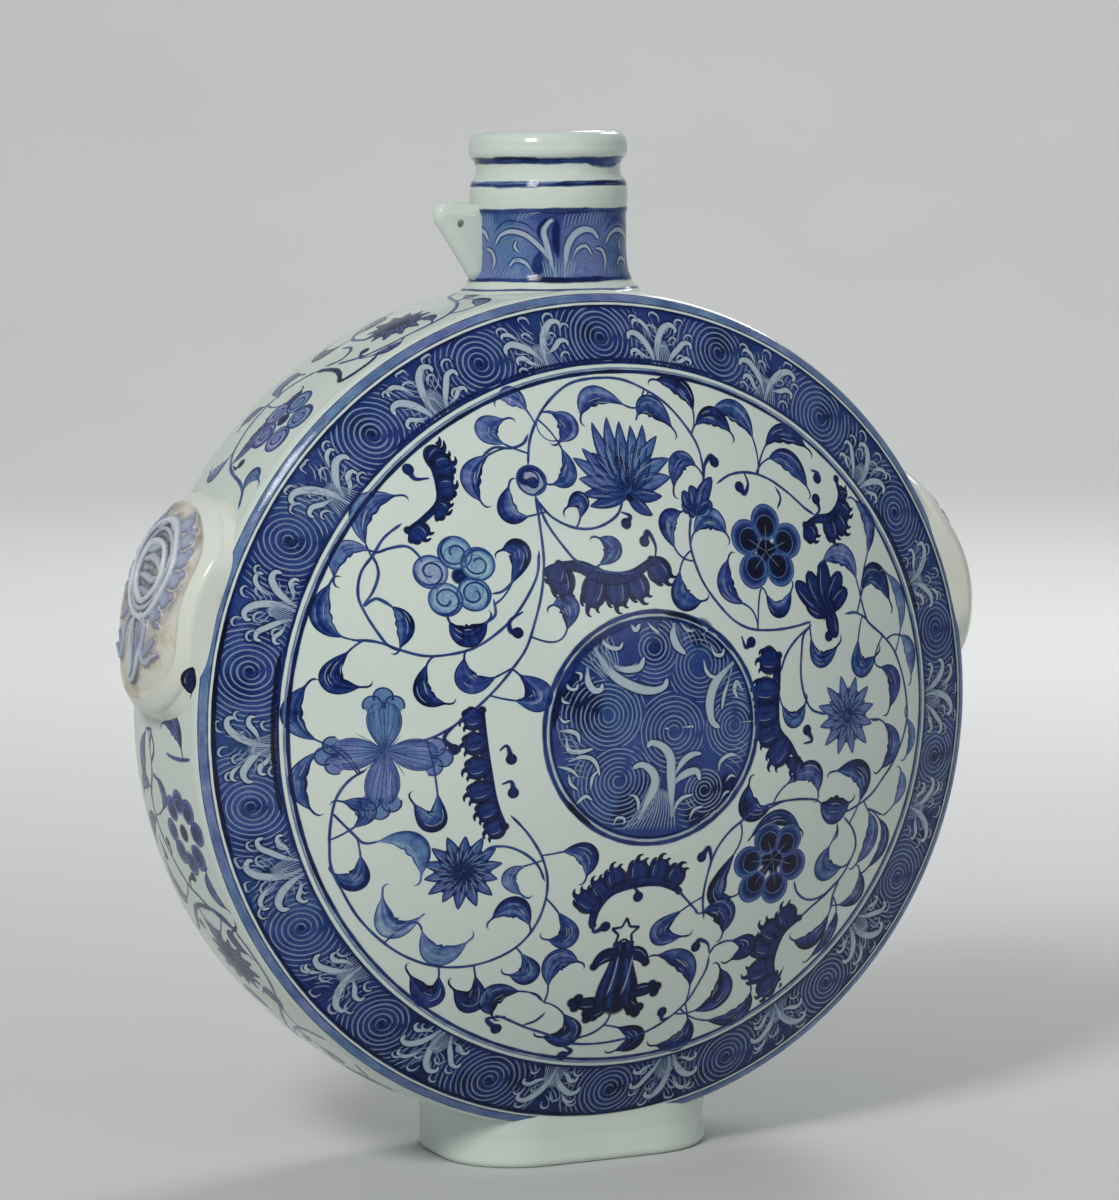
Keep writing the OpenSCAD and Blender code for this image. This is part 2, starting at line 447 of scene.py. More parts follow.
@dataclass
class WallCanvas(Canvas):
    """The drum wall: across is the arc from +X towards the neck, up is towards the front face."""

    turned: bool = False
    radius: float = 194.2
    swell: float = 2.7
    seam_d: float = 38.0
    neck_at: float = 305.0

    def place(self, flat: Array, lift: Array) -> Array:
        """Return 3-D points on the wall; see Canvas.place."""
        across, up = flat[:, 0], flat[:, 1]
        if self.turned:
            across, up = 2 * self.neck_at - across, -up
        angle = across / self.radius
        r = self.radius - self.swell * (up / self.seam_d) ** 2 + lift
        return np.stack([r * np.cos(angle), -up, r * np.sin(angle) + DISC_Z], 1) * MM


@dataclass
class NeckCanvas(Canvas):
    """The neck: across is the arc from the front towards +X, up is the height above the base."""

    unit_r: float = 36.0
    total: float = 470.0
    neck_r: float = 35.3
    rib_r: float = 36.4
    groove_r: float = 32.9
    lip_r: float = 36.4

    def outline(self) -> Array:
        """Return the neck's outer line as rows of radius and height."""
        h, r = self.total, self.neck_r
        t = np.linspace(0, 1, 9)
        parts = [
            quadratic((r + 7.5, h - 73.6), (r + 0.3, h - 69), (r, h - 58), t),
            quadratic((r, h - 39), (self.rib_r + 0.1, h - 33), (self.rib_r, h - 28.5), t),
            quadratic((self.rib_r, h - 28.5), (self.rib_r, h - 24), (self.groove_r + 0.7, h - 20), t),
            quadratic((self.groove_r + 0.7, h - 20), (self.groove_r - 0.4, h - 16), (self.groove_r + 0.8, h - 13), t),
            quadratic((self.groove_r + 0.8, h - 13), (self.lip_r + 0.9, h - 11.5), (self.lip_r, h - 7), t),
        ]
        return np.vstack(parts)

    def place(self, flat: Array, lift: Array) -> Array:
        """Return 3-D points on the neck; see Canvas.place."""
        line = self.outline()
        flare = 0.16 * (1 - step(flat[:, 1], 409.0, 416.0))
        r = np.interp(flat[:, 1], line[:, 1], line[:, 0]) + lift + flare
        angle = flat[:, 0] / self.unit_r
        return np.stack([r * np.sin(angle), -r * np.cos(angle), flat[:, 1]], 1) * MM


@dataclass
class BossCanvas(Canvas):
    """A side boss: places run out from its middle over the domed top and down the collar's flank."""

    side: float = -1.0
    rise: float = 16.8
    edge: float = 194.5
    crown: float = 15.2
    top_r: float = 50.6
    power: float = 3.8
    half_u: float = 46.0
    half_v: float = 52.3
    corner: float = 20.0
    shoulder: float = 2.0
    foot: float = 177.0
    flank: float = 18.0

    def plan(self, angle: Array) -> Array:
        """Return the collar's reach in each direction."""
        c, s = np.abs(np.cos(angle)), np.abs(np.sin(angle))
        a, b = self.half_u - self.corner, self.half_v - self.corner
        along = a * c + b * s
        turn = along + np.sqrt(np.maximum(along ** 2 - a * a - b * b + self.corner ** 2, 0.0))
        wide = self.half_u / np.maximum(c, 1e-6)
        tall = self.half_v / np.maximum(s, 1e-6)
        return np.where(wide * s < b, wide, np.where(tall * c < a, tall, turn))

    def shoulder_at(self, angle: Array) -> Array:
        """Return where the domed top turns into the flank."""
        plan = self.plan(angle)
        return -2.0 * np.log(np.exp(-(plan - 50.0) / 2.0) + np.exp(-(self.top_r + 1.0 - 50.0) / 2.0)) + 50.0

    def top(self, reach: Array) -> Array:
        """Return the height of the domed top."""
        return self.edge + self.crown * (1 - (np.abs(reach) / self.top_r) ** self.power)

    def section(self, run: Array, angle: Array) -> tuple[Array, Array]:
        """Return reach and height after a run from the middle.

        Args:
            run: Distance from the middle, over the top and down the flank.
            angle: Direction in the boss's own plane.

        Returns:
            Reach from the axis and height along it.
        """
        rim, soft = self.shoulder_at(angle), self.shoulder
        start = rim - soft
        high = self.top(start)
        slope = self.crown * self.power * start ** (self.power - 1) / self.top_r ** self.power
        bend = high - slope * soft
        t = np.clip((run - start) / (2 * soft), 0.0, 1.0)
        d = np.clip((run - start - 2 * soft) / self.flank, 0.0, 1.0)
        reach = np.where(run < start, run, start * (1 - t) ** 2 + rim * 2 * t * (1 - t) + rim * t ** 2)
        height = np.where(run < start, self.top(np.minimum(run, start)),
                          high * (1 - t) ** 2 + bend * 2 * t * (1 - t) + (bend - soft) * t ** 2)
        reach = reach + (self.plan(angle) + 0.2 + 2.6 * np.abs(np.sin(angle)) - rim) * d
        return reach, height + (self.foot - bend + soft) * d

    def place(self, flat: Array, lift: Array) -> Array:
        """Return 3-D points on the boss; see Canvas.place."""
        angle = np.arctan2(flat[:, 1], flat[:, 0])
        run = np.hypot(flat[:, 0], flat[:, 1])
        reach, height = self.section(run, angle)
        further, lower = self.section(run + 0.2, angle)
        size = np.maximum(np.hypot(further - reach, lower - height), 1e-9)
        reach, height = reach + (height - lower) / size * lift, height + (further - reach) / size * lift
        tilt = math.radians(self.rise)
        axis = np.array([self.side * math.cos(tilt), 0.0, math.sin(tilt)])
        up = np.array([-self.side * math.sin(tilt), 0.0, math.cos(tilt)])
        right = np.array([0.0, self.side, 0.0])
        spread = np.cos(angle)[:, None] * right + np.sin(angle)[:, None] * up
        return (np.array([0.0, 0.0, DISC_Z]) + reach[:, None] * spread + height[:, None] * axis) * MM


# Brushes


def smooth(points: Path | Array, gap: float = 1.2, closed: bool = False) -> Array:
    """Draw one smooth line through points.

    Args:
        points: Places that the line passes through.
        gap: Longest step of the result.
        closed: Whether the line returns to its start.

    Returns:
        The line's points.
    """
    p = np.asarray(points, float)
    if closed:
        p = np.vstack([p[-1], p, p[0], p[1]])
    else:
        p = np.vstack([2 * p[0] - p[1], p, 2 * p[-1] - p[-2]])
    span = np.sqrt(np.maximum(np.linalg.norm(np.diff(p, axis=0), axis=1), 1e-6))
    rows = []
    for i in range(1, len(p) - 2):
        a, b, c = span[i - 1], span[i], span[i + 1]
        leave = ((p[i] - p[i - 1]) / a - (p[i + 1] - p[i - 1]) / (a + b) + (p[i + 1] - p[i]) / b) * b
        arrive = ((p[i + 1] - p[i]) / b - (p[i + 2] - p[i]) / (b + c) + (p[i + 2] - p[i + 1]) / c) * b
        count = max(2, math.ceil(b * b / gap))
        t = np.linspace(0, 1, count, endpoint=False)[:, None]
        rows.append((2 * t ** 3 - 3 * t ** 2 + 1) * p[i] + (t ** 3 - 2 * t ** 2 + t) * leave
                    + (3 * t ** 2 - 2 * t ** 3) * p[i + 1] + (t ** 3 - t ** 2) * arrive)
    rows.append(p[-2][None, :])
    return np.vstack(rows)


def travel(line: Array) -> Array:
    """Return the distance along a line at each of its points."""
    return np.concatenate([[0.0], np.cumsum(np.linalg.norm(np.diff(line, axis=0), axis=1))])


def left_of(line: Array) -> Array:
    """Return the unit normals on the left of a line."""
    ahead = np.gradient(line, axis=0)
    ahead /= np.maximum(np.linalg.norm(ahead, axis=1), 1e-9)[:, None]
    return np.stack([-ahead[:, 1], ahead[:, 0]], 1)


def ring(centre: tuple[float, float], radius: float, start: float = 0.0, sweep: float = 360.0,
         gap: float = 1.2) -> Array:
    """Return points on an arc.

    Args:
        centre: The arc's centre.
        radius: Its radius.
        start: First angle in degrees.
        sweep: Degrees covered.
        gap: Longest step.

    Returns:
        The arc's points.
    """
    count = max(6, math.ceil(abs(math.radians(sweep)) * radius / gap)) + 1
    angle = np.radians(start + np.linspace(0, sweep, count))
    return np.stack([centre[0] + radius * np.cos(angle), centre[1] + radius * np.sin(angle)], 1)


LINE_PLACES = (-1.0, -0.5, 0.5, 1.0)
LINE_COVERS = (0.0, 1.0, 1.0, 0.0)


class Layer:
    """Brush strokes at one height over a canvas, gathered into one mesh."""

    def __init__(self, canvas: Canvas, name: str, lift: float, material: bpy.types.Material, seed: int) -> None:
        """Start an empty layer.

        Args:
            canvas: The surface under the paint.
            name: The piece's name.
            lift: Height over the surface, in millimetres.
            material: The paint.
            seed: Start of the layer's small random changes.
        """
        self.canvas = canvas
        self.name = name
        self.lift = lift
        self.material = material
        self.luck = random.Random(seed)
        self.flat: list[Array] = []
        self.lifts: list[Array] = []
        self.inks: list[Array] = []
        self.covers: list[Array] = []
        self.faces: list[Array] = []
        self.count = 0
        self.strokes = 0

    def wobble(self, along: Array, pace: float = 1.0) -> Array:
        """Return a slow random wave between -1 and 1."""
        a, b = self.luck.uniform(0, 6.28), self.luck.uniform(0, 6.28)
        return 0.6 * np.sin(along * 0.33 * pace + a) + 0.4 * np.sin(along * 0.9 * pace + b)

    def grid(self, flat: Array, ink: Array, cover: Array) -> None:
        """Add a grid of points and its faces.

        Args:
            flat: Places, shaped rows x columns x 2, with columns running to the left.
            ink: Paint strength for each point.
            cover: Opacity for each point.
        """
        rows, columns = flat.shape[:2]
        index = self.count + np.arange(rows * columns).reshape(rows, columns)
        self.faces.append(np.stack([index[:-1, :-1], index[1:, :-1], index[1:, 1:], index[:-1, 1:]], -1)
                          .reshape(-1, 4))
        self.flat.append(flat.reshape(-1, 2))
        self.inks.append(np.broadcast_to(ink, (rows, columns)).ravel())
        self.covers.append(np.broadcast_to(cover, (rows, columns)).ravel())
        self.lifts.append(np.full(rows * columns, self.lift + (self.strokes % 7) * 0.0025))
        self.count += rows * columns
        self.strokes += 1

    def band(self, spine: Array, left: Array, right: Array, places: Sequence[float], ink: Array,
             cover: Array) -> None:
        """Add a band of paint along a line.

        Args:
            spine: The line.
            left: Half width on its left.
            right: Half width on its right.
            places: Columns from -1, the right edge, to 1, the left edge.
            ink: Strength, by row and column.
            cover: Opacity, by row and column.
        """
        side = left_of(spine)
        across = np.asarray(places)[None, :]
        off = np.where(across < 0, across * np.asarray(right)[:, None], across * np.asarray(left)[:, None])
        self.grid(spine[:, None, :] + side[:, None, :] * off[..., None], ink, cover)

    def line(self, points: Path | Array, width: float, ink: float, fade: tuple[float, float] = (0.0, 0.0),
             cover: float = 1.0, closed: bool = False, exact: bool = False) -> None:
        """Draw a brush line.

        Args:
            points: Places that it passes through.
            width: Its width in millimetres.
            ink: Paint strength.
            fade: Lengths over which its two ends grow thin.
            cover: Opacity.
            closed: Whether it returns to its start.
            exact: Whether the points are used as they are.
        """
        spine = np.asarray(points, float) if exact else smooth(points, closed=closed)
        if len(spine) < 3:
            return
        along = travel(spine)
        half = 0.5 * width * (1.0 + 0.13 * self.wobble(along))
        for run, where in ((fade[0], along), (fade[1], along[-1] - along)):
            if run > 0:
                half = half * (0.2 + 0.8 * step(where, 0.0, run))
        strength = (ink + 0.07 * self.wobble(along, 0.5))[:, None]
        self.band(spine, half, half, LINE_PLACES, strength, cover * np.asarray(LINE_COVERS)[None, :])

    def shape(self, outline: Array, centre: tuple[float, float], ink: Sequence[float],
              sizes: Sequence[float], covers: Sequence[float]) -> None:
        """Fill a rounded outline from its centre outwards.

        Args:
            outline: The outline, counter-clockwise.
            centre: A point that sees all of it.
            ink: Strength of each ring of points, from the centre out.
            sizes: Size of each ring as a share of the outline.
            covers: Opacity of each ring.
        """
        middle = np.asarray(centre, float)
        closed = np.vstack([outline, outline[:1]])
        flat = middle + (closed - middle)[:, None, :] * np.asarray(sizes)[None, ::-1, None]
        self.grid(flat, np.asarray(ink)[None, ::-1], np.asarray(covers)[None, ::-1])

    def dot(self, centre: tuple[float, float], radius: float, ink: float, cover: float = 1.0) -> None:
        """Draw a round dab."""
        edge = ring(centre, radius, gap=max(0.4, radius / 4))[:-1]
        self.shape(edge, centre, (ink, ink, ink), (0.03, 0.72, 1.0), (cover, cover, 0.0))

    def build(self, slot: str) -> bpy.types.Object:
        """Turn the layer into a piece of the flask.

        Args:
            slot: Not used.

        Returns:
            The new object.
        """
        points = self.canvas.place(np.vstack(self.flat), np.concatenate(self.lifts))
        values = {"ink": np.concatenate(self.inks), "cover": np.concatenate(self.covers)}
        return make_piece(self.name, points, np.vstack(self.faces), values, self.material)


def make_piece(name: str, points: Array, faces: Array, values: dict[str, Array],
               material: bpy.types.Material) -> bpy.types.Object:
    """Make a smooth mesh object that rides on the flask.

    Args:
        name: The piece's name.
        points: Rows of x, y, z in metres.
        faces: Rows of four indices.
        values: Numbers for each point, by name.
        material: Its material.

    Returns:
        The new object.
    """
    mesh = bpy.data.meshes.new(name)
    mesh.vertices.add(len(points))
    mesh.vertices.foreach_set("co", points.astype(np.float32).ravel())
    mesh.loops.add(faces.size)
    mesh.loops.foreach_set("vertex_index", faces.astype(np.int32).ravel())
    mesh.polygons.add(len(faces))
    mesh.polygons.foreach_set("loop_start", np.arange(0, faces.size, 4, dtype=np.int32))
    mesh.update(calc_edges=True)
    for key, numbers in values.items():
        attribute = mesh.attributes.new(key, "FLOAT", "POINT")
        attribute.data.foreach_set("value", np.clip(numbers, 0.0, 1.0).astype(np.float32))
    mesh.polygons.foreach_set("use_smooth", np.ones(len(faces), dtype=bool))
    mesh.materials.append(material)
    piece = bpy.data.objects.new(name, mesh)
    bpy.context.scene.collection.objects.link(piece)
    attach(piece, BODY)
    LOG.info("%s: %d faces", name, len(faces))
    return piece


# Motifs of the flower scroll


@dataclass
class Inks:
    """Paint strengths of the scroll."""

    stem: float = 0.60
    edge: float = 0.72
    leaf: float = 0.52
    dark: float = 0.80
    deep: float = 0.97


@dataclass
class ScrollPainter:
    """Draws stems, leaves, buds and flowers with washes, lines and reserved lights."""

    wash: Layer
    lines: Layer
    lights: Layer
    inks: Inks

    def stem(self, points: Path, width: float = 1.15, ink: float | None = None) -> None:
        """Draw a stem that thins at both ends."""
        self.lines.line(points, width, self.inks.stem if ink is None else ink, (2.5, 2.5))

    def stalk(self, stems: Array, base: tuple[float, float], pull: tuple[float, float], width: float = 1.1) -> None:
        """Join a leaf to the nearest stem with a thin curved stalk.

        Args:
            stems: Points along every stem.
            base: Where the leaf begins.
            pull: The point that bends the leaf, which the stalk runs towards.
            width: The stalk's width.
        """
        start = np.asarray(base, float)
        ahead = np.asarray(pull, float) - start
        ahead /= max(float(np.linalg.norm(ahead)), 1e-6)
        near = stems[int(np.argmin(np.linalg.norm(stems - (start - ahead * 7.0), axis=1)))]
        gap = float(np.linalg.norm(near - start))
        if 0.8 < gap < 26.0:
            bow = quadratic(near, start - ahead * gap * 0.5, start + ahead * 1.5, np.linspace(0, 1, 14))
            self.lines.line(bow, width, self.inks.stem, (0.0, 0.0), exact=True)

    def leaf(self, base: tuple[float, float], pull: tuple[float, float], tip: tuple[float, float], width: float,
             ink: float | None = None) -> None:
        """Draw a curling half-leaf: thin stalk, streaked body with one ragged side, and a flicked tail.

        Args:
            base: Where it leaves the stem.
            pull: The point that bends it.
            tip: The end of its tail.
            width: Its widest width.
            ink: Strength of its body.
        """
        ink = self.inks.leaf if ink is None else ink
        luck = self.wash.luck
        t = np.linspace(0, 1, 34)
        spine = quadratic(base, pull, tip, t)
        turn = (pull[0] - base[0]) * (tip[1] - base[1]) - (pull[1] - base[1]) * (tip[0] - base[0])
        swell = np.sin(np.pi * np.clip((t - 0.06) / 0.86, 0, 1) ** 1.1) ** 0.85
        teeth = 1 + 0.30 * np.abs(np.sin(t * 13.0 + luck.uniform(0, 3)))
        outer_side = 0.68 * width * swell + 0.45
        inner_side = 0.40 * width * swell * teeth + 0.45
        left, right = (inner_side, outer_side) if turn > 0 else (outer_side, inner_side)
        places = (-1.0, -0.88, -0.62, -0.4, -0.18, 0.0, 0.2, 0.42, 0.64, 0.88, 1.0)
        streak = np.array([0.12, 0.12] + [luck.uniform(-0.18, 0.12) for _ in range(7)] + [0.12, 0.12])
        heart = 0.16 * luck.choice((-1.0, 1.0)) * np.asarray(places)
        body = ink + (streak + heart)[None, :] + 0.10 * (self.wash.wobble(t * 30, 1.6) * swell)[:, None]
        covers = np.array([0.0] + [1.0] * 9 + [0.0])[None, :]
        self.wash.band(spine, left, right, places, body, covers)
        side = left_of(spine)
        for sign, reach in ((1.0, left), (-1.0, right)):
            edge = spine + side * (sign * (reach - 0.3))[:, None]
            self.lines.line(edge[3:31], 0.6, min(ink + 0.18, 0.9), (3.0, 3.0), exact=True)
        for k in range(max(3, int(width / 2.0))):
            place = luck.uniform(-0.75, 0.75)
            reach = left if place > 0 else right
            start = luck.randint(6, 14)
            slit = (spine + side * (place * reach)[:, None])[start:start + luck.randint(7, 12)]
            self.lights.line(slit, 0.5, 0.4, (1.5, 1.5), 0.7, exact=True)
        ahead = spine[-1] - spine[-3]
        ahead /= max(float(np.linalg.norm(ahead)), 1e-6)
        inward = np.array([-ahead[1], ahead[0]]) * (1.0 if turn > 0 else -1.0)
        self.lines.line((spine[-5], spine[-1], spine[-1] + ahead * 1.6 + inward * 1.0,
                         spine[-1] + ahead * 2.0 + inward * 2.6), 1.1, ink + 0.06, (0.0, 2.5))

    def curl(self, points: Path, radius: float = 2.7, ink: float | None = None) -> None:
        """Draw a hooked stalk that swells into a round ball; the last point is the ball's centre."""
        ink = self.inks.dark if ink is None else ink
        spine = smooth(points, 0.7)
        share = travel(spine) / travel(spine)[-1]
        half = 0.5 + 1.5 * share ** 1.4
        self.lines.band(spine, half, half, LINE_PLACES, (ink - 0.12 + 0.12 * share)[:, None],
                        np.asarray(LINE_COVERS)[None, :])
        self.wash.dot(points[-1], radius, ink)
        self.lines.line(ring(points[-1], radius - 0.5), 0.6, min(ink + 0.1, 1.0), exact=True)

    def petal(self, base: tuple[float, float], tip: tuple[float, float], width: float, edge: float,
              core: float, bend: float = 0.0, blunt: float = 0.0, club: float = 0.0) -> None:
        """Draw a petal with dark rims and a pale or dark heart.

        Args:
            base: Its root.
            tip: Its end.
            width: Its widest width.
            edge: Strength of its rim.
            core: Strength of its heart.
            bend: Sideways bow as a share of its length.
            blunt: 0 for a pointed tip, 1 for a round one.
            club: How far its widest place moves towards the tip.
        """
        a, b = np.asarray(base, float), np.asarray(tip, float)
        side = np.array([-(b - a)[1], (b - a)[0]])
        t = np.linspace(0, 1, 20)
        spine = quadratic(a, (a + b) / 2 + side * bend * 2, b, t)
        pointed = np.sin(np.pi * np.clip(t, 0, 1) ** 0.85) ** 0.8
        far = t ** (1 + club)
        rounded = np.sqrt(np.clip(1 - (2 * far - 1) ** 2, 0, 1)) ** (0.9 + 0.3 * (1 - far))
        half = width / 2 * ((1 - blunt) * pointed + blunt * rounded) + 0.22
        places = (-1.0, -0.86, -0.66, -0.3, 0.0, 0.3, 0.66, 0.86, 1.0)
        mid = (edge + core) / 2
        shade = np.array([edge, edge, mid, core, core + 0.06, core, mid, edge, edge])[None, :]
        tips = (0.35 * (edge - core) * (step(t, 0.75, 1.0) + 1 - step(t, 0.0, 0.3)))[:, None]
        covers = np.array([0.0] + [1.0] * 7 + [0.0])[None, :]
        self.wash.band(spine, half, half, places, shade + tips, covers)
        for sign in (-1.0, 1.0):
            rim = spine + left_of(spine) * (sign * (half - 0.25))[:, None]
            self.lines.line(rim[1:], 0.5, min(edge + 0.05, 1.0), (1.5, 0.5), exact=True)
        self.lines.line(spine[2:15], 0.4, core + 0.22, (2.0, 4.0), 0.8, exact=True)
        side_line = spine + left_of(spine) * (half * 0.45)[:, None]
        self.lights.line(side_line[7:17], 0.5, 0.35, (2.0, 2.0), 0.6, exact=True)

    def petals(self, centre: tuple[float, float], tips: Path, width: float, edge: float, core: float,
               blunt: float = 0.0) -> None:
        """Draw petals from one centre to many tips."""
        for tip in tips:
            self.petal(centre, tip, width, edge, core, self.wash.luck.uniform(-0.08, 0.08), blunt)

    def round_petal(self, centre: tuple[float, float], hub: tuple[float, float], radius: float,
                    inks: Sequence[float]) -> None:
        """Draw a round petal with a double outline.

        Args:
            centre: The petal's centre.
            hub: The flower's centre.
            radius: The petal's radius.
            inks: Strength at its heart, between, and at its rim.
        """
        edge = ring(centre, radius)[:-1]
        away = np.asarray(hub, float) - np.asarray(centre, float)
        heart = np.asarray(centre, float) + away * 0.18
        self.wash.shape(edge, (heart[0], heart[1]), (inks[0], inks[0], inks[0] - 0.08, inks[1], inks[2], inks[2]),
                        (0.03, 0.35, 0.52, 0.68, 0.93, 1.0), (1, 1, 1, 1, 1, 0))
        self.lines.line(ring(centre, radius - 0.4), 0.95, inks[2] + 0.16, exact=True)
        self.lines.line(ring((heart[0], heart[1]), radius * 0.66), 0.5, inks[2], exact=True)

    def spiral_flower(self, hub: tuple[float, float], petals: Path, radius: float, inks: Sequence[float],
                      swirl: float) -> None:
        """Draw a pale flower whose round petals each hold a spiral.

        Args:
            hub: The flower's centre.
            petals: The petals' centres.
            radius: A petal's radius.
            inks: Strength at a petal's heart, between, and at its rim.
            swirl: Strength of the spirals.
        """
        for centre in petals:
            self.round_petal(centre, hub, radius, inks)
            turns = np.linspace(0, 1, 34)
            angle = math.atan2(centre[1] - hub[1], centre[0] - hub[0]) + turns * 8.5
            reach = radius * 0.89 * (1 - turns * 0.75)
            self.lines.line(np.stack([centre[0] + reach * np.cos(angle), centre[1] + reach * np.sin(angle)], 1),
                            1.2, swirl, (1, 1), exact=True)
        self.wash.dot(hub, radius * 0.55, 0.82)

    def star_flower(self, hub: tuple[float, float], count: int, reach: float, edge: float, core: float,
                    tall: float = 1.0) -> None:
        """Draw a flower with two rows of pointed petals.

        Args:
            hub: The flower's centre.
            count: Petals in each row.
            reach: Length of the outer petals.
            edge: Strength of their rims.
            core: Strength of their hearts.
            tall: How much taller than wide the flower is.
        """
        for row, (share, turn) in enumerate(((1.0, 0.0), (0.72, 0.5))):
            for k in range(count):
                angle = math.tau * (k + turn) / count + 0.2
                size = reach * share * self.wash.luck.uniform(0.92, 1.05)
                tip = (hub[0] + size * math.cos(angle), hub[1] + tall * size * math.sin(angle))
                self.petal(hub, tip, 5.6 - row, edge + 0.06 * row, core)
        self.wash.dot(hub, 3.2, 0.95)
        for k in range(6):
            angle = math.tau * k / 6
            self.wash.dot((hub[0] + 5 * math.cos(angle), hub[1] + 5 * math.sin(angle)), 0.9, 0.95)

    def palmette(self, spine: Path, tips: Path, ink: float | None = None) -> None:
        """Draw a dark half-leaf: a curled back with round hooked lobes along one side.

        Args:
            spine: The smooth back.
            tips: The ends of its lobes.
            ink: Strength of its body.
        """
        ink = self.inks.dark if ink is None else ink
        back = smooth(spine, 0.7)
        share = np.linspace(0.0, 1.0, len(back))
        points = np.asarray(tips, float)
        spots = np.array([np.argmin(np.linalg.norm(back - p, axis=1)) for p in points])
        order = np.argsort(spots, kind="stable")
        points, spots = points[order], spots[order]
        away = left_of(back)
        reach = np.array([float((p - back[i]) @ away[i]) for p, i in zip(points, spots)])
        sign = 1.0 if reach.sum() > 0 else -1.0
        deep = np.interp(share, spots / (len(back) - 1), np.abs(reach)) * 0.36
        deep = deep * np.sin(np.pi * (0.1 + 0.8 * share)) ** 0.5
        thin = np.full(len(back), 1.1)
        left, right = (deep, thin) if sign > 0 else (thin, deep)
        places = (-1.0, -0.86, -0.5, 0.0, 0.5, 0.86, 1.0)
        tone = ink + 0.05 * np.array([1, 1, -1, 0, -1, 1, 1])[None, :] + 0.06 * self.wash.wobble(share * 50)[:, None]
        self.wash.band(back, left, right, places, tone, np.array([0.0, 1, 1, 1, 1, 1, 0])[None, :])
        gap = float(np.linalg.norm(np.diff(points, axis=0), axis=1).mean())
        lean = self.wash.luck.choice((-1.0, 1.0))
        t = np.linspace(0, 1, 10)
        for point, spot in zip(points, spots):
            out = point - back[spot]
            ahead = lean * (back[min(spot + 2, len(back) - 1)] - back[max(spot - 2, 0)])
            ahead /= max(float(np.linalg.norm(ahead)), 1e-6)
            root, tip = back[spot] - out * 0.08 - ahead * 1.2, point
            self.petal(tuple(root), tuple(tip), gap * 1.04, ink + 0.08, ink - 0.12, 0.06 * lean, 0.85, 0.3)
            for share, size in ((-0.62, 2.0), (0.0, 2.9), (0.62, 2.2)):
                foot = point - out * (0.06 + 0.3 * abs(share)) + ahead * gap * 0.5 * share
                horn = quadratic(foot, foot + out * 0.3, foot + out * 0.26 + ahead * size, t)
                half = 1.25 * (1 - t) + 0.3
                self.wash.band(horn, half, half, (-1.0, -0.8, 0.8, 1.0), np.full((1, 1), ink + 0.06),
                               np.array([0.0, 1, 1, 0])[None, :])
        for end in (back[0], back[-1]):
            self.wash.dot(end, 2.0, ink + 0.05)
        self.lines.line(back, 1.0, ink + 0.06, (1.5, 1.5), exact=True)


# The flower scroll of a domed face


class Tone(Enum):
    """How strongly a leaf is painted."""

    PALE = 0.42
    SOFT = 0.51
    MID = 0.62
    DARK = 0.76


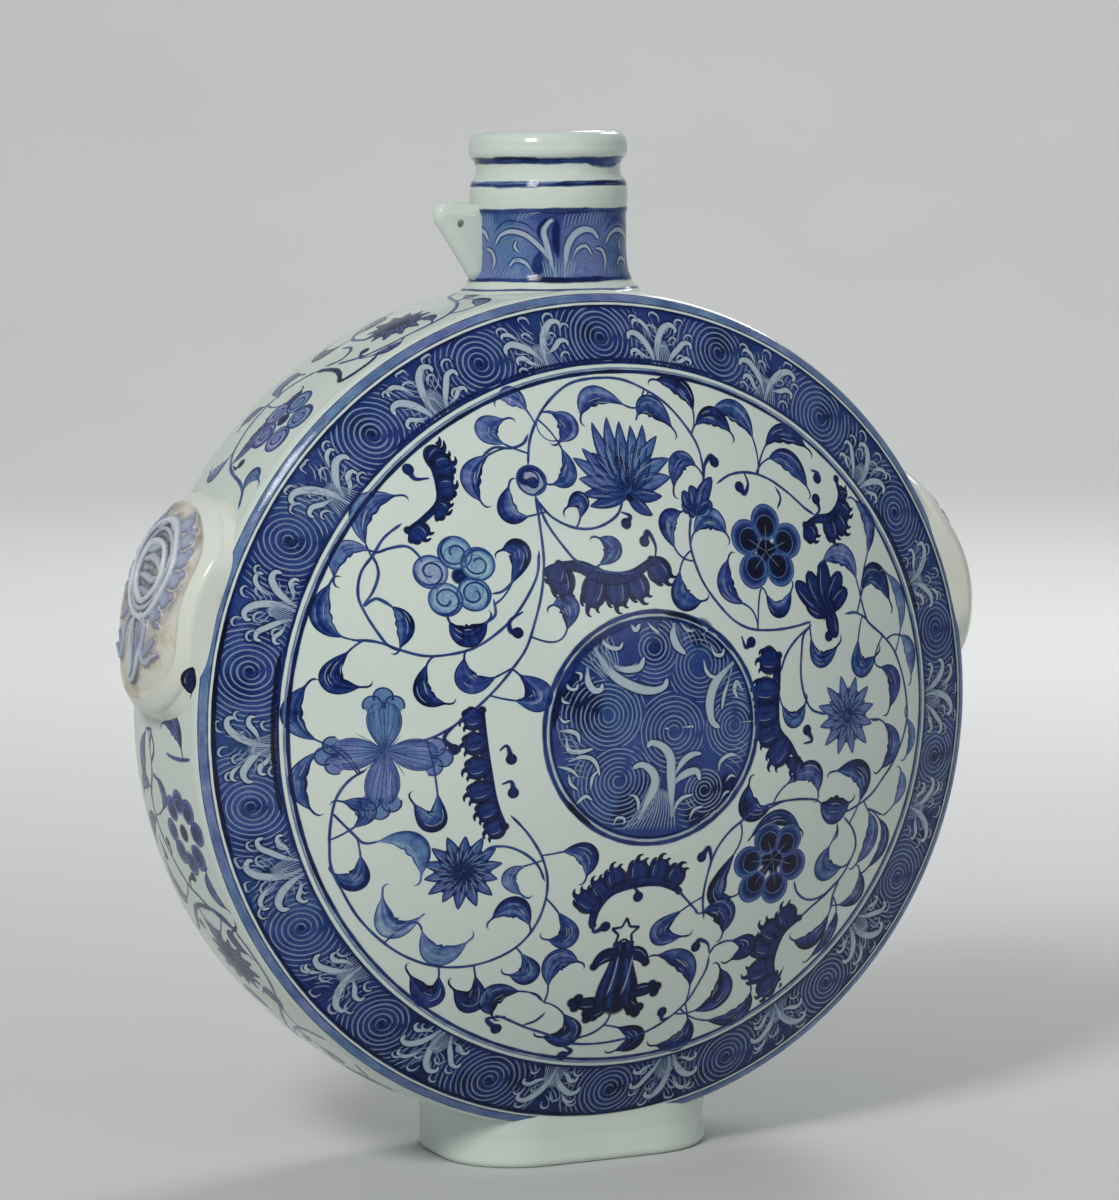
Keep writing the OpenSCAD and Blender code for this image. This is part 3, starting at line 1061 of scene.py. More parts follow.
@dataclass
class FaceScroll:
    """The scroll of flowers and leaves that fills a domed face around its middle roundel."""

    name: str
    canvas: FaceCanvas
    seed: int
    stem_width: float = 1.5

    STEMS = (
        ((-47, 116), (-44, 127), (-38, 137), (-30, 145), (-20, 151), (-7, 153), (5, 152), (15, 147.5), (24, 141),
         (31, 132), (35.5, 123), (36.5, 115), (35.5, 107), (33, 101)),
        ((-46, 104), (-46, 90), (-46.5, 75), (-49, 62), (-53, 50), (-58, 38), (-64, 30), (-70, 23), (-77, 16),
         (-84, 10), (-92, 4), (-100, 0), (-107, -1.5)),
        ((-46, 104), (-43, 92), (-36, 80), (-32, 75), (-25, 71.5), (-15, 69), (-5, 69), (0, 72)),
        ((-46, 102), (-40, 94), (-30, 89), (-20, 89), (-10, 94), (-7, 99), (-6, 104)),
        ((-44, 130), (-47, 126), (-53, 124), (-60, 124.5), (-66, 121)),
        ((42, 105), (50, 108.5), (60, 109), (70, 106), (80, 99.5), (90, 91), (95, 88)),
        ((26, 92), (24, 85), (23.5, 78), (25, 70), (28, 62), (35, 52), (42, 45), (50, 41), (62, 39.5), (75, 40),
         (85, 41.5)),
        ((74, 102), (76, 97), (73, 92)),
        ((106, 43), (113, 43), (119, 40), (122, 37), (130, 31), (137, 24), (142, 14), (145, 3), (146, -8),
         (143, -18), (137, -28), (130, -35), (122, -42), (110, -47), (105, -48)),
        ((85, 40), (80, 36), (78, 28), (77, 18), (79, 8), (83, 2), (88, 0), (92, -1)),
        ((85, 40), (75, 34), (69, 28), (65, 20)),
        ((117, 50), (119, 42), (121, 37)),
        ((119, -6), (123, -7), (127, -7)),
        ((30, -90), (28, -80), (29, -68), (32, -58), (38, -50), (45, -45), (52, -41), (65, -38.5), (78, -38.5),
         (88, -40)),
        ((105, -50), (112, -57), (115, -65), (112, -73), (108, -79), (100, -86), (92, -91), (85, -96)),
        ((78, -77), (81, -83), (88, -87.5), (97, -87), (107, -80)),
        ((101, -52), (102, -58), (100, -61)),
        ((120, -48), (125, -50), (132, -53)),
        ((107, -80), (104, -88), (104, -95)),
        ((36, -108), (36, -114), (33, -122), (29, -130), (22, -137), (12, -143), (0, -146), (-15, -147),
         (-28, -145), (-38, -140), (-48, -136), (-58, -131), (-63, -129)),
        ((36, -108), (38, -104), (45, -101.5)),
        ((15, -75), (22, -82), (27, -87)),
        ((-25, -144), (-15, -141), (-10, -136), (-9, -130)),
        ((-50, -135), (-44, -133), (-40, -129)),
        ((-42, -124), (-46, -120), (-50, -118.5)),
        ((-125, -13), (-132, -18), (-137, -26), (-139, -38), (-139, -48), (-138, -57), (-133, -68), (-126, -80),
         (-116, -91), (-105, -99), (-92, -104), (-78, -104.5), (-66, -101), (-57, -95), (-51, -86), (-48, -75),
         (-48, -65), (-51, -55), (-57, -45), (-62, -39), (-66, -35)),
        ((-78, -57), (-75, -50), (-68, -49), (-60, -52), (-53, -58), (-49, -66)),
        ((-139, -32), (-130, -42), (-126, -46), (-122, -46.5)),
        ((-129, 43), (-123, 43), (-118, 42), (-108, 38), (-100, 36), (-90, 36.5), (-80, 39), (-70, 45), (-62, 52),
         (-55, 61), (-50, 70), (-48, 80)),
        ((-104, 93), (-112, 87), (-117, 80), (-123, 72), (-125, 62), (-123, 55), (-119, 47), (-115, 41),
         (-110, 38)),
        ((-117, 79), (-116, 72), (-119, 64), (-123, 58), (-118, 61), (-112, 58)),
        ((-117, 80), (-110, 82.5), (-103, 83), (-99, 79), (-98, 76)),
        ((-71, 62), (-66, 63), (-60, 68)),
        ((-90, 54), (-89.5, 51), (-89, 49)),
        ((-75, 49), (-70, 53), (-70, 60)),
    )

    LEAVES = (
        (8, 135, 15, 147, 26, 128, 8, Tone.MID), (5, 140, -14, 152, -19, 135, 7, Tone.MID),
        (-33, 139, -20, 134, -32, 125, 8, Tone.MID), (-31, 125, -25, 108, -39, 108, 6, Tone.MID),
        (-28, 92, -22, 106, -34, 97, 6, Tone.MID), (-23, 72, -8, 80, -22, 85, 7, Tone.MID),
        (-42, 139, -47, 149, -55, 145, 7, Tone.PALE), (-54, 125, -70, 133, -51, 137, 8, Tone.SOFT),
        (-62, 122, -78, 114, -69, 100, 7, Tone.MID), (-49, 95, -64, 92, -56, 110, 7, Tone.MID),
        (-40, 44, -34, 60, -46, 56, 8, Tone.MID), (34, 112, 24, 123, 19, 102, 7, Tone.MID),
        (37.5, 136, 38, 150, 20, 151.5, 7, Tone.DARK), (36, 130, 48, 140, 56, 125, 7, Tone.DARK),
        (67, 122, 64, 140, 46, 137, 8, Tone.MID), (72, 119, 84, 131, 99, 116, 7, Tone.DARK),
        (72, 114, 86, 118, 94, 98, 8, Tone.MID), (25, 83, 36, 97, 44, 81, 8, Tone.MID),
        (16, 77, 9, 93, 23, 94, 7, Tone.MID), (17, 70, 11, 52, 28, 55, 8, Tone.MID),
        (49, 51.5, 34, 58, 43, 74, 7, Tone.MID), (60, 57, 66, 40, 76, 58, 6, Tone.MID),
        (116, 56, 112, 76, 93, 66, 8, Tone.SOFT), (118, 51, 128, 69, 138, 43, 9, Tone.MID),
        (124, 67, 134, 84, 120, 94, 6, Tone.MID), (142, 30, 149, 48, 135, 60, 5, Tone.PALE),
        (142, 30, 151, 26, 149, 8, 6, Tone.PALE), (84, 36, 85, 16, 102, 31, 6, Tone.MID),
        (114, 33, 108, 10, 127, 24, 8, Tone.MID), (126, 17, 143, 14, 132, -5, 7, Tone.MID),
        (65, 7, 72, -9, 80, 7, 6, Tone.MID), (128, -8, 145, -20, 126, -32, 7, Tone.MID),
        (145, -8, 154, -18, 145, -28, 4, Tone.PALE), (138, -50, 147, -42, 142, -32, 5, Tone.PALE),
        (89, -41, 97, -48, 110, -43, 11, Tone.DARK), (99, -61, 88, -78, 110, -74, 9, Tone.MID),
        (62, -40, 44, -46, 48, -26, 9, Tone.DARK), (67, -32, 88, -18, 88, -39, 8, Tone.MID),
        (114, -46, 124, -26, 95, -28, 9, Tone.MID), (121, -49, 131, -62, 115, -76, 7, Tone.SOFT),
        (128, -53, 143, -66, 123, -79, 5, Tone.DARK), (107, -93, 127, -94, 119, -76, 6, Tone.MID),
        (104, -95, 98, -114, 82, -106, 7, Tone.DARK), (108, -95, 110, -106, 95, -119, 5, Tone.DARK),
        (44, -57, 26, -86, 46, -80, 8, Tone.DARK), (27, -87, 44, -82, 41, -100, 10, Tone.DARK),
        (20, -83, -4, -98, 23, -97, 8, Tone.MID), (45, -102, 66, -104, 46, -113, 8, Tone.DARK),
        (29, -124, 28, -106, 6, -105, 8, Tone.MID), (32, -136, 55, -132, 42, -113, 9, Tone.DARK),
        (31, -137, 38, -154, 15, -151, 8, Tone.DARK), (40, -141, 66, -146, 64, -128, 7, Tone.DARK),
        (-6, -139, 16, -146, -5, -152.5, 8, Tone.DARK), (-33, -129, -18, -146, -42, -141, 9, Tone.DARK),
        (-41, -118, -44, -98, -27, -106, 9, Tone.MID), (-43, -79, -28, -98, -47, -93, 8, Tone.MID),
        (-44, -53, -26, -50, -31, -67, 8, Tone.MID), (-57, -58, -72, -62, -57, -73, 5, Tone.SOFT),
        (-53, -88, -60, -70, -72, -84, 8, Tone.MID), (-99, -79, -116, -96, -117, -67, 8, Tone.PALE),
        (-100, -85, -94, -108, -78, -91, 8, Tone.PALE), (-127, -50, -124, -70, -138, -59, 8, Tone.MID),
        (-122, -46, -100, -40, -102, -64, 8, Tone.PALE), (-90, -107, -88, -130, -104, -105, 9, Tone.DARK),
        (-75, -107, -68, -132, -85, -113, 9, Tone.DARK), (-57, -98, -44, -114, -62, -109, 8, Tone.MID),
        (-52, -118, -72, -116, -63, -131, 9, Tone.DARK), (-66, 16, -44, 12, -64, 29, 10, Tone.MID),
        (-70, 27, -88, 18, -84, 37, 8, Tone.MID), (-99, 34, -108, 16, -91, 15, 6, Tone.DARK),
        (-129, 40, -148, 22, -124, 23, 8, Tone.DARK), (-143, -1, -162, 8, -146, 26, 7, Tone.MID),
        (-143, -4, -159, -18, -145, -33, 6, Tone.MID), (-131, -40, -118, -30, -137, -27, 7, Tone.MID),
        (-97, -22, -94, -48, -108, -26, 8, Tone.MID), (-119, 82, -126, 104, -102, 105, 8, Tone.SOFT),
        (-117, 81, -132, 88, -134, 68, 6, Tone.SOFT), (-113, 58, -104, 52, -111, 38, 6, Tone.MID),
        (-131, 44, -147, 50, -134, 70, 7, Tone.MID), (-90, 52, -84, 38, -72, 52, 8, Tone.DARK),
        (-63, 64, -50, 86, -66, 80, 8, Tone.MID),
    )

    CURLS = (
        ((-8, 95), (-4, 93), (-6.5, 90)), ((5, 74), (6, 80), (3, 86), (1, 82)),
        ((36, 108), (38, 114), (42, 117), (43, 114.5)), ((58, 109), (59, 104), (56, 100), (54, 103)),
        ((29, -68), (30, -62), (28, -56), (25, -60)), ((36, -107), (34, -102), (29, -100), (28, -103)),
        ((22, -137), (18, -138), (17, -134)), ((-58, 54), (-64, 50), (-64, 46), (-61, 45)),
        ((-8, -71), (-6, -73), (-5, -76)), ((45, 38), (47, 33), (50, 35)), ((-89, 6), (-94, 0), (-90, -5)),
        ((95, 88), (98, 90), (97, 95)), ((97, 41), (98, 36), (95, 34)), ((78, -13), (83, -12), (80, -7)),
        ((-71, -6), (-68, -4), (-66, -10)), ((-70, -21), (-66, -20), (-65, -25)),
        ((-25, -85), (-24, -91), (-19, -89)), ((-90, 112), (-96, 112), (-98, 116)),
        ((-58, -130), (-66, -131), (-61, -136)), ((-30, -146), (-24, -150), (-28, -152)),
        ((97, 108), (101, 106), (100, 104)), ((-46, 104), (-41, 108), (-43, 114), (-49, 115), (-51, 110), (-46, 109)),
    )

    PALMETTES = (
        (((-40, 74), (-30, 74), (-18, 69), (-8, 69), (3, 74)),
         ((-43, 66), (-40, 60), (-29, 55), (-16, 54.5), (-4, 57), (9, 64))),
        (((-102, 90), (-95, 95), (-88, 102), (-87, 110), (-88, 118)),
         ((-96, 86), (-85, 97), (-80, 108), (-79, 118), (-82, 124))),
        (((88, 84), (95, 87), (105, 88), (112, 95), (112, 103)),
         ((92, 77), (104, 76), (112, 79), (116, 86), (116, 95))),
        (((65, 28), (64, 15), (63, 5), (64, -5), (70, -12), (75, -20)),
         ((54, 27), (50, 14), (50, 3), (52, -8), (59, -20), (71, -25))),
        (((-78, 12), (-77, 0), (-75, -15), (-72, -30), (-68, -40)),
         ((-86, 8), (-86, -3), (-85, -14), (-84, -25), (-80, -34), (-76, -42))),
        (((15, -75), (5, -71), (-8, -71), (-18, -74), (-23, -80), (-25, -88)),
         ((-34, -74), (-27, -68), (-19, -62), (-7, -59), (4, -59), (14, -63))),
        (((85, -96), (77, -102), (74, -110), (74, -118), (77, -124)),
         ((73, -90), (63, -98), (60, -107), (60, -122), (70, -133), (80, -126))),
    )

    def build(self, paints: "Paints") -> None:
        """Paint the whole scroll.

        Args:
            paints: The materials.
        """
        wash = Layer(self.canvas, self.name + "_scroll_wash", 0.03, paints.cobalt, self.seed)
        lines = Layer(self.canvas, self.name + "_scroll_lines", 0.055, paints.cobalt, self.seed + 1)
        lights = Layer(self.canvas, self.name + "_scroll_lights", 0.08, paints.reserve, self.seed + 2)
        brush = ScrollPainter(wash, lines, lights, Inks())
        for stem in self.STEMS:
            brush.stem(stem, self.stem_width)
        stems = np.vstack([smooth(points) for points in self.STEMS])
        for bx, bz, px, pz, tx, tz, width, tone in self.LEAVES:
            brush.stalk(stems, (bx, bz), (px, pz))
            brush.leaf((bx, bz), (px, pz), (tx, tz), width, tone.value + wash.luck.uniform(-0.04, 0.04))
        for curl in self.CURLS:
            brush.curl(curl)
        for spine, tips in self.PALMETTES:
            brush.palmette(spine, tips)
        lines.line(ring((-33, 133), 6.5), 0.7, 0.55, exact=True)
        self.lotus(brush)
        self.camellias(brush)
        self.stars(brush)
        self.knot(brush)
        self.orchid(brush)
        self.column(brush)
        self.buds(brush)
        for layer in (wash, lines, lights):
            layer.build("painted_glaze")

    def lotus(self, brush: ScrollPainter) -> None:
        """Paint the many-petalled flower at the top."""
        hub = (-3, 103)
        brush.petals(hub, ((-26, 119), (20, 117), (-25, 110), (19, 109)), 8, 0.66, 0.40)
        brush.petals(hub, ((-21, 123), (-14, 134), (-6.5, 136), (-1, 134), (4, 132), (10, 132), (16, 127)), 7,
                     0.66, 0.42)
        brush.petals(hub, ((-17, 121), (-10, 126), (-3, 125), (4, 124), (11, 119)), 6, 0.80, 0.50)
        brush.petals(hub, ((-25, 103), (-22, 98), (13, 101), (7, 93)), 6, 0.72, 0.55)
        brush.petal((-3, 103), (-3, 116), 6, 0.86, 0.35, 0.0, 0.7)
        brush.wash.dot((-5, 117), 2.2, 0.97)
        brush.wash.dot((-3, 101), 2.0, 0.97)

    def knot(self, brush: ScrollPainter) -> None:
        """Paint the round knot where three stems meet."""
        centre = (-46.5, 110.0)
        brush.wash.dot(centre, 6.2, 0.22, 0.9)
        brush.lines.line(ring(centre, 6.2), 1.5, 0.6, exact=True)
        turns = np.linspace(0, 1, 30)
        angle, reach = 2.2 - turns * 6.0, 4.4 * (1 - 0.8 * turns)
        brush.lines.line(np.stack([centre[0] + reach * np.cos(angle), centre[1] + reach * np.sin(angle)], 1),
                         1.1, 0.66, (1, 0), exact=True)

    def camellias(self, brush: ScrollPainter) -> None:
        """Paint the three flowers with round petals."""
        for hub, petals, radius in (
            ((63, 74), ((65, 87), (53, 81), (55, 66), (70, 66), (76, 78)), 8.0),
            ((64, -65), ((60, -55), (72, -57), (76, -69), (67, -79), (54, -77), (50, -65)), 7.6),
        ):
            for centre in petals:
                brush.round_petal(centre, hub, radius, (0.97, 0.74, 0.36))
            brush.wash.dot(hub, 6.0, 0.90)
            for centre in petals:
                out = (np.asarray(centre, float) - hub) * 0.9 + hub
                brush.wash.line([hub, (out + hub) / 2, out], 5.6, 0.93, (1, 3), 0.9)
                brush.lights.line([hub, (out + hub) / 2, out], 0.45, 0.5, (2, 2), 0.5)
        brush.leaf((49, -55), (64, -38), (80, -54), 6, 0.82)
        brush.spiral_flower((-83, 70), ((-84, 80), (-75, 75), (-78, 62), (-90, 60), (-95, 72)), 7.4,
                            (0.24, 0.16, 0.40), 0.60)

    def stars(self, brush: ScrollPainter) -> None:
        """Paint the two round flowers of pointed petals."""
        brush.star_flower((105, -3), 12, 18.0, 0.62, 0.34)
        brush.star_flower((-85, -60), 14, 17.0, 0.72, 0.44)

    def orchid(self, brush: ScrollPainter) -> None:
        """Paint the pale flower of four lobed arms at the left."""
        hub = (-118, -5)
        for arm in ((-118, 15), (-98, -8), (-119.5, -28), (-138, -7)):
            out = np.asarray(arm, float) - hub
            out /= np.linalg.norm(out)
            side = np.array([-out[1], out[0]])
            lobes = [np.asarray(arm) + side * 4.4, np.asarray(arm) - side * 4.4, np.asarray(arm) + out * 3.6]
            for lobe in lobes:
                brush.wash.dot(lobe, 4.0, 0.35)
                brush.lines.line(ring(lobe, 3.9, math.degrees(math.atan2(out[1], out[0])) - 115, 230), 1.0, 0.66,
                                 exact=True)
            brush.petal(hub, tuple(np.asarray(arm) + out * 1.5), 14.0, 0.52, 0.34, 0.0, 1.0, 0.45)
            for share in (-0.8, -0.35, 0.0, 0.35, 0.8):
                end = np.asarray(arm) + side * share * 6.0 + out * (3.4 - 3.0 * abs(share))
                brush.lines.line((hub, np.asarray(hub) + (end - hub) * 0.5 + side * share, end), 0.45, 0.55, (3, 2), 0.8)
        for k in range(18):
            angle = math.tau * k / 18 + 0.1
            reach = brush.wash.luck.uniform(9, 15)
            end = (hub[0] + reach * math.cos(angle), hub[1] + reach * math.sin(angle))
            brush.lines.line([hub, ((hub[0] + end[0]) / 2 + 0.6, (hub[1] + end[1]) / 2), end], 0.4, 0.55, (2, 3), 0.8)
        brush.wash.dot((-138, -6), 1.8, 0.85)
        brush.wash.dot(hub, 2.4, 0.6)

    def column(self, brush: ScrollPainter) -> None:
        """Paint the bell-shaped flower under a small star at the bottom."""
        spine = smooth(((-9, -97), (-8.8, -107), (-8.4, -117), (-7.7, -129)))
        along = travel(spine) / travel(spine)[-1]
        half = 5.2 + 5.4 * step(along, 0.15, 0.8)
        places = (-1.0, -0.92, -0.7, -0.5, -0.3, -0.1, 0.1, 0.3, 0.5, 0.7, 0.92, 1.0)
        shade = np.array([0.9, 0.9, 0.66, 0.92, 0.58, 0.86, 0.95, 0.8, 0.58, 0.9, 0.9, 0.9])[None, :]
        brush.wash.band(spine, half, half, places, shade + 0.06 * step(along, 0.6, 1.0)[:, None],
                        np.array([0.0] + [1.0] * 10 + [0.0])[None, :])
        for sign in (-1.0, 1.0):
            brush.petal((-9, -104), (-9 + sign * 12.5, -108.5), 6.5, 0.9, 0.8, sign * 0.25, 0.9)
            brush.wash.dot((-9 + sign * 12.4, -108), 2.4, 0.9)
        for root, end, turns in (((-13, -125), (-26.5, -125.5), (80, 170, 260)),
                                 ((-12, -127), (-19.0, -132), (150, 240, 330)),
                                 ((-4, -127), (2.5, -131), (200, 290, 20)),
                                 ((-3, -124), (9.5, -121.5), (-60, 20, 110))):
            brush.petal(root, end, 6.5, 0.92, 0.82, 0.08, 0.95, 0.3)
            for degrees in turns:
                turn = math.radians(degrees)
                brush.wash.dot((end[0] + 2.2 * math.cos(turn), end[1] + 2.2 * math.sin(turn)), 2.7, 0.9)
        brush.wash.dot((-8, -126.5), 7.0, 0.93)
        for x in (-12.0, -5.0):
            brush.lights.line(((x + 1.5, -104), (x + 1.0, -112), (x, -119), (x - 1, -123)), 1.0, 0.45, (3, 3), 0.8)
        star = []
        for k in range(10):
            reach = 6.9 if k % 2 == 0 else 3.2
            angle = math.pi / 2 + math.tau * k / 10
            star.append((-9 + reach * math.cos(angle), -92.5 + reach * math.sin(angle)))
        for a, b in zip(star, star[1:] + star[:1]):
            middle = ((a[0] + b[0]) / 2, (a[1] + b[1]) / 2)
            brush.lines.line((a, middle, b), 1.5, 0.84)

    def buds(self, brush: ScrollPainter) -> None:
        """Paint the small lobed buds."""
        brush.petals((29, 92), ((28, 105), (35, 103), (40, 108), (38, 97), (27, 95)), 7, 0.74, 0.55, 0.5)
        brush.petals((27, 94), ((22, 97), (24, 103)), 6, 0.74, 0.6, 0.3)
        for tip, width in (((78, 60), 9), ((86, 64), 9), ((96, 68), 9), ((106, 62), 9), ((109, 54), 8), ((83, 50), 8)):
            brush.petal((96, 44), tip, width, 0.86, 0.70, 0.05, 0.7, 0.3)
        brush.wash.dot((95, 47), 6.5, 0.84)
        brush.petal((98, 46), (100, 33), 7.5, 0.88, 0.74, -0.1, 0.7)


# Waves: the border, the roundel and the neck


@dataclass
class WavePainter:
    """Draws whirlpools, comb lines and foam crests on a blue ground."""

    ground: Layer
    rings: Layer
    shade: Layer
    foam: Layer

    def runs(self, line: Array, keep: Array) -> list[Array]:
        """Split a line into the stretches that are kept."""
        cuts = np.flatnonzero(np.diff(keep.astype(int))) + 1
        return [part for part, flag in zip(np.split(line, cuts), np.split(keep, cuts)) if flag[0] and len(part) > 7]

    def whirl(self, centre: tuple[float, float], inner: float, outer: float, inside: Any, gap: float = 1.9,
              flat: float = 1.0, width: float = 0.85, ink: float = 0.7, spin: float = 0.0) -> None:
        """Draw the rings of one whirlpool.

        Args:
            centre: Its middle.
            inner: Radius of the first ring.
            outer: Radius of the last.
            inside: Function of places that says which are drawn.
            gap: Distance between rings.
            flat: Height of the rings as a share of their width.
            width: Width of the lines.
            ink: Veil over the lines, 0 for white.
            spin: Angle at which the rings begin.
        """
        luck = self.rings.luck
        radius = inner
        while radius <= outer:
            start = spin + luck.uniform(-12, 12)
            arc = ring((0.0, 0.0), radius, start, 356, 0.9)
            creep = np.linspace(0, gap, len(arc))[:, None] / radius
            arc = arc * (1 + creep + 0.012 * self.rings.wobble(np.arange(len(arc)) * 0.9)[:, None])
            arc = arc * np.array([1.0, flat]) + np.asarray(centre)
            for part in self.runs(arc, inside(arc)):
                self.rings.line(part, width * luck.uniform(0.8, 1.1), ink, (2.5, 2.5), luck.uniform(0.7, 0.95),
                                exact=True)
            radius += gap * luck.uniform(0.93, 1.07)

    def finger(self, points: Array, width: float, veil: float = 0.05, halo: float = 0.82,
               depth: float = 0.0) -> None:
        """Draw a foam finger with its dark halo; it is fullest in the middle and round at its tip.

        Args:
            points: The finger's places, root first.
            width: Its widest width.
            veil: Blue veil over the white.
            halo: Strength of the dark halo.
            depth: Extra width of the halo.
        """
        spine = smooth(points, 0.8)
        along = travel(spine)
        total = along[-1]
        swell = 0.5 * width * (0.35 + 0.65 * step(along, 0.0, 0.45 * total)) * (1 - 0.45 * step(along, 0.6 * total, total))
        tip = np.sqrt(np.clip(1 - np.clip((along - total + 0.5 * width) / (0.5 * width), 0, 1) ** 2, 0.03, 1))
        half = swell * tip
        dark = half + (0.75 + depth) * (0.3 + 0.7 * step(along, 0, 0.5 * total))
        covers = np.array([0.0, 0.85, 0.85, 0.0])[None, :] * (0.25 + 0.75 * step(along, 0.0, 0.5 * total))[:, None]
        self.shade.band(spine, dark, dark, (-1.0, -0.7, 0.7, 1.0), (halo + 0.06 * self.shade.wobble(along))[:, None],
                        covers)
        veils = np.array([0.55, 0.1, 0.0, 0.1, 0.55])[None, :] + veil + 0.5 * (1 - step(along, 0, 0.35 * total))[:, None]
        self.foam.band(spine, half, half, (-1.0, -0.7, 0.0, 0.7, 1.0), veils, np.array([0.0, 1, 1, 1, 0])[None, :])

    def comb(self, starts: Path, ends: Path, count: int, bow: float = 0.0, width: float = 0.6,
             ink: float = 0.6) -> None:
        """Draw parallel water lines between two edges.

        Args:
            starts: First and last root.
            ends: First and last end.
            count: Number of lines.
            bow: Sideways bow in millimetres.
            width: Width of the lines.
            ink: Veil over the lines.
        """
        s, e = np.asarray(starts, float), np.asarray(ends, float)
        for k in range(count):
            share = k / max(count - 1, 1)
            a, b = s[0] * (1 - share) + s[1] * share, e[0] * (1 - share) + e[1] * share
            side = np.array([-(b - a)[1], (b - a)[0]]) / max(np.linalg.norm(b - a), 1e-6)
            self.foam.line([a, (a + b) / 2 + side * bow, b], width * self.foam.luck.uniform(0.8, 1.1), ink,
                           (2.0, 2.0), 0.9)


def nearest(centres: Sequence[tuple[float, float]], own: int, weights: Sequence[float] | None = None) -> Any:
    """Return a test that keeps the places nearest to one of several centres.

    Args:
        centres: All the centres.
        own: Which of them is meant.
        weights: Multipliers of the distances.

    Returns:
        A function from places to booleans.
    """
    middles = np.asarray(centres, float)
    scale = np.ones(len(middles)) if weights is None else np.asarray(weights, float)

    def test(places: Array) -> Array:
        """Say which places are nearest to the chosen centre."""
        far = np.linalg.norm(places[:, None, :] - middles[None], axis=2) * scale
        return far[:, own] <= far.min(axis=1) + 1e-9

    return test


@dataclass
class WaveBorder:
    """The sloping border: whirlpools and foam crests between dark lines."""

    name: str
    canvas: FaceCanvas
    seed: int
    inner: float = 158.9
    outer: float = 184.6
    whirls: int = 18
    middle: float = 171.6

    SMALL = (
        (((0, 1), (1, 8), (3, 13), (6, 17.5), (9.5, 20), (12.5, 19.5), (12.8, 17)), 2.9),
        (((-1, 4), (-4, 9), (-8, 12.5), (-12, 14.5), (-15.3, 13.5), (-16, 11)), 2.8),
        (((2.5, 7), (7, 9), (10.5, 11.5), (13.5, 11), (13.8, 8.8)), 2.0),
        (((-3, 3), (-7, 5), (-9.5, 7.8), (-12.5, 7.6), (-13, 5.4)), 1.9),
        (((-8, 15), (-11, 18.5), (-14, 19), (-15, 17.4)), 1.6),
    )
    LARGE = (
        (((-2, 0), (-2.5, 7), (-1, 13), (2, 18), (5.5, 20), (8, 18.5), (7.6, 16.6)), 2.9),
        (((-4, 0), (-6, 6), (-9, 11), (-13, 14), (-16, 13.6), (-16.8, 11)), 2.9),
        (((2, 0), (5, 5), (9, 9.5), (12.5, 13), (15.5, 13), (16, 10.6)), 2.3),
        (((-7, 3), (-11, 4.6), (-14, 6.4), (-16.4, 5.2), (-16.2, 3.2)), 1.7),
        (((-5, 13), (-7, 17.5), (-10, 20), (-13, 19.6), (-13.3, 17.6)), 1.8),
        (((6, 3), (10, 4), (13, 6), (15.4, 5.2), (15.2, 3.2)), 1.7),
    )

    HOOKS = ((10, 5), (-11, 3), (5, 14), (-4, 16), (13, 16), (-13, 20), (8.5, 22.5), (-2, 22.5), (0, 8))

    def tone(self, angle: Array) -> Array:
        """Return the strength of the ground round the border: darker below as painted shade, a little darker at the
        top, paler at the left as a painted reflection.
        """
        degrees = np.degrees(angle) % 360
        # Painted shade: the lower part of the border is darker.
        low = step(degrees, 205, 240) * (1 - step(degrees, 315, 350))
        # Painted reflection: the left part of the border is paler.
        left = step(degrees, 165, 185) * (1 - step(degrees, 195, 225))
        top = step(degrees, 60, 80) * (1 - step(degrees, 120, 150))
        return 0.64 + 0.13 * low + 0.04 * top - 0.05 * left

    def build(self, paints: "Paints") -> None:
        """Paint the border.

        Args:
            paints: The materials.
        """
        ground = Layer(self.canvas, self.name + "_border_ground", 0.02, paints.cobalt, self.seed)
        rings = Layer(self.canvas, self.name + "_border_rings", 0.045, paints.reserve, self.seed + 1)
        shade = Layer(self.canvas, self.name + "_border_shade", 0.07, paints.cobalt, self.seed + 2)
        foam = Layer(self.canvas, self.name + "_border_foam", 0.095, paints.reserve, self.seed + 3)
        edge = Layer(self.canvas, self.name + "_border_lines", 0.12, paints.cobalt, self.seed + 4)
        brush = WavePainter(ground, rings, shade, foam)
        self.lay_ground(ground)
        centres = []
        for k in range(self.whirls):
            angle = math.pi / 2 + math.tau * k / self.whirls
            radius = self.middle + rings.luck.uniform(-1.2, 1.2)
            centres.append((radius * math.cos(angle), radius * math.sin(angle)))
        for k, centre in enumerate(centres):
            brush.whirl(centre, 1.6, 24, self.inside(nearest(centres, k)), 2.35, width=0.98, ink=0.9)
            shade.dot(centre, 1.6, 0.8, 0.8)
            shade.line(ring(centre, 3.0), 0.9, 0.72, exact=True, cover=0.6)
        for k in range(self.whirls):
            self.crest(brush, math.pi / 2 + math.tau * (k + 0.5) / self.whirls, k)
        self.edges(edge)
        for layer in (ground, rings, shade, foam, edge):
            layer.build("painted_glaze")

    def inside(self, own: Any) -> Any:
        """Return a test for places inside the band that also pass another test."""

        def test(places: Array) -> Array:
            """Say which places are kept."""
            reach = np.hypot(places[:, 0], places[:, 1])
            return own(places) & (reach > self.inner + 1.0) & (reach < self.outer - 0.8)

        return test

    def lay_ground(self, layer: Layer) -> None:
        """Lay the blue wash of the band."""
        circle = ring((0, 0), (self.inner + self.outer) / 2, gap=2.0)
        half = np.full(len(circle), (self.outer - self.inner) / 2)
        angle = np.arctan2(circle[:, 1], circle[:, 0])
        places = np.array([-1.0, -0.96, -0.85, -0.5, 0.0, 0.5, 0.85, 0.96, 1.0])
        across = np.array([0.12, 0.12, 0.04, 0.0, -0.03, 0.0, 0.05, 0.16, 0.16])[None, :]
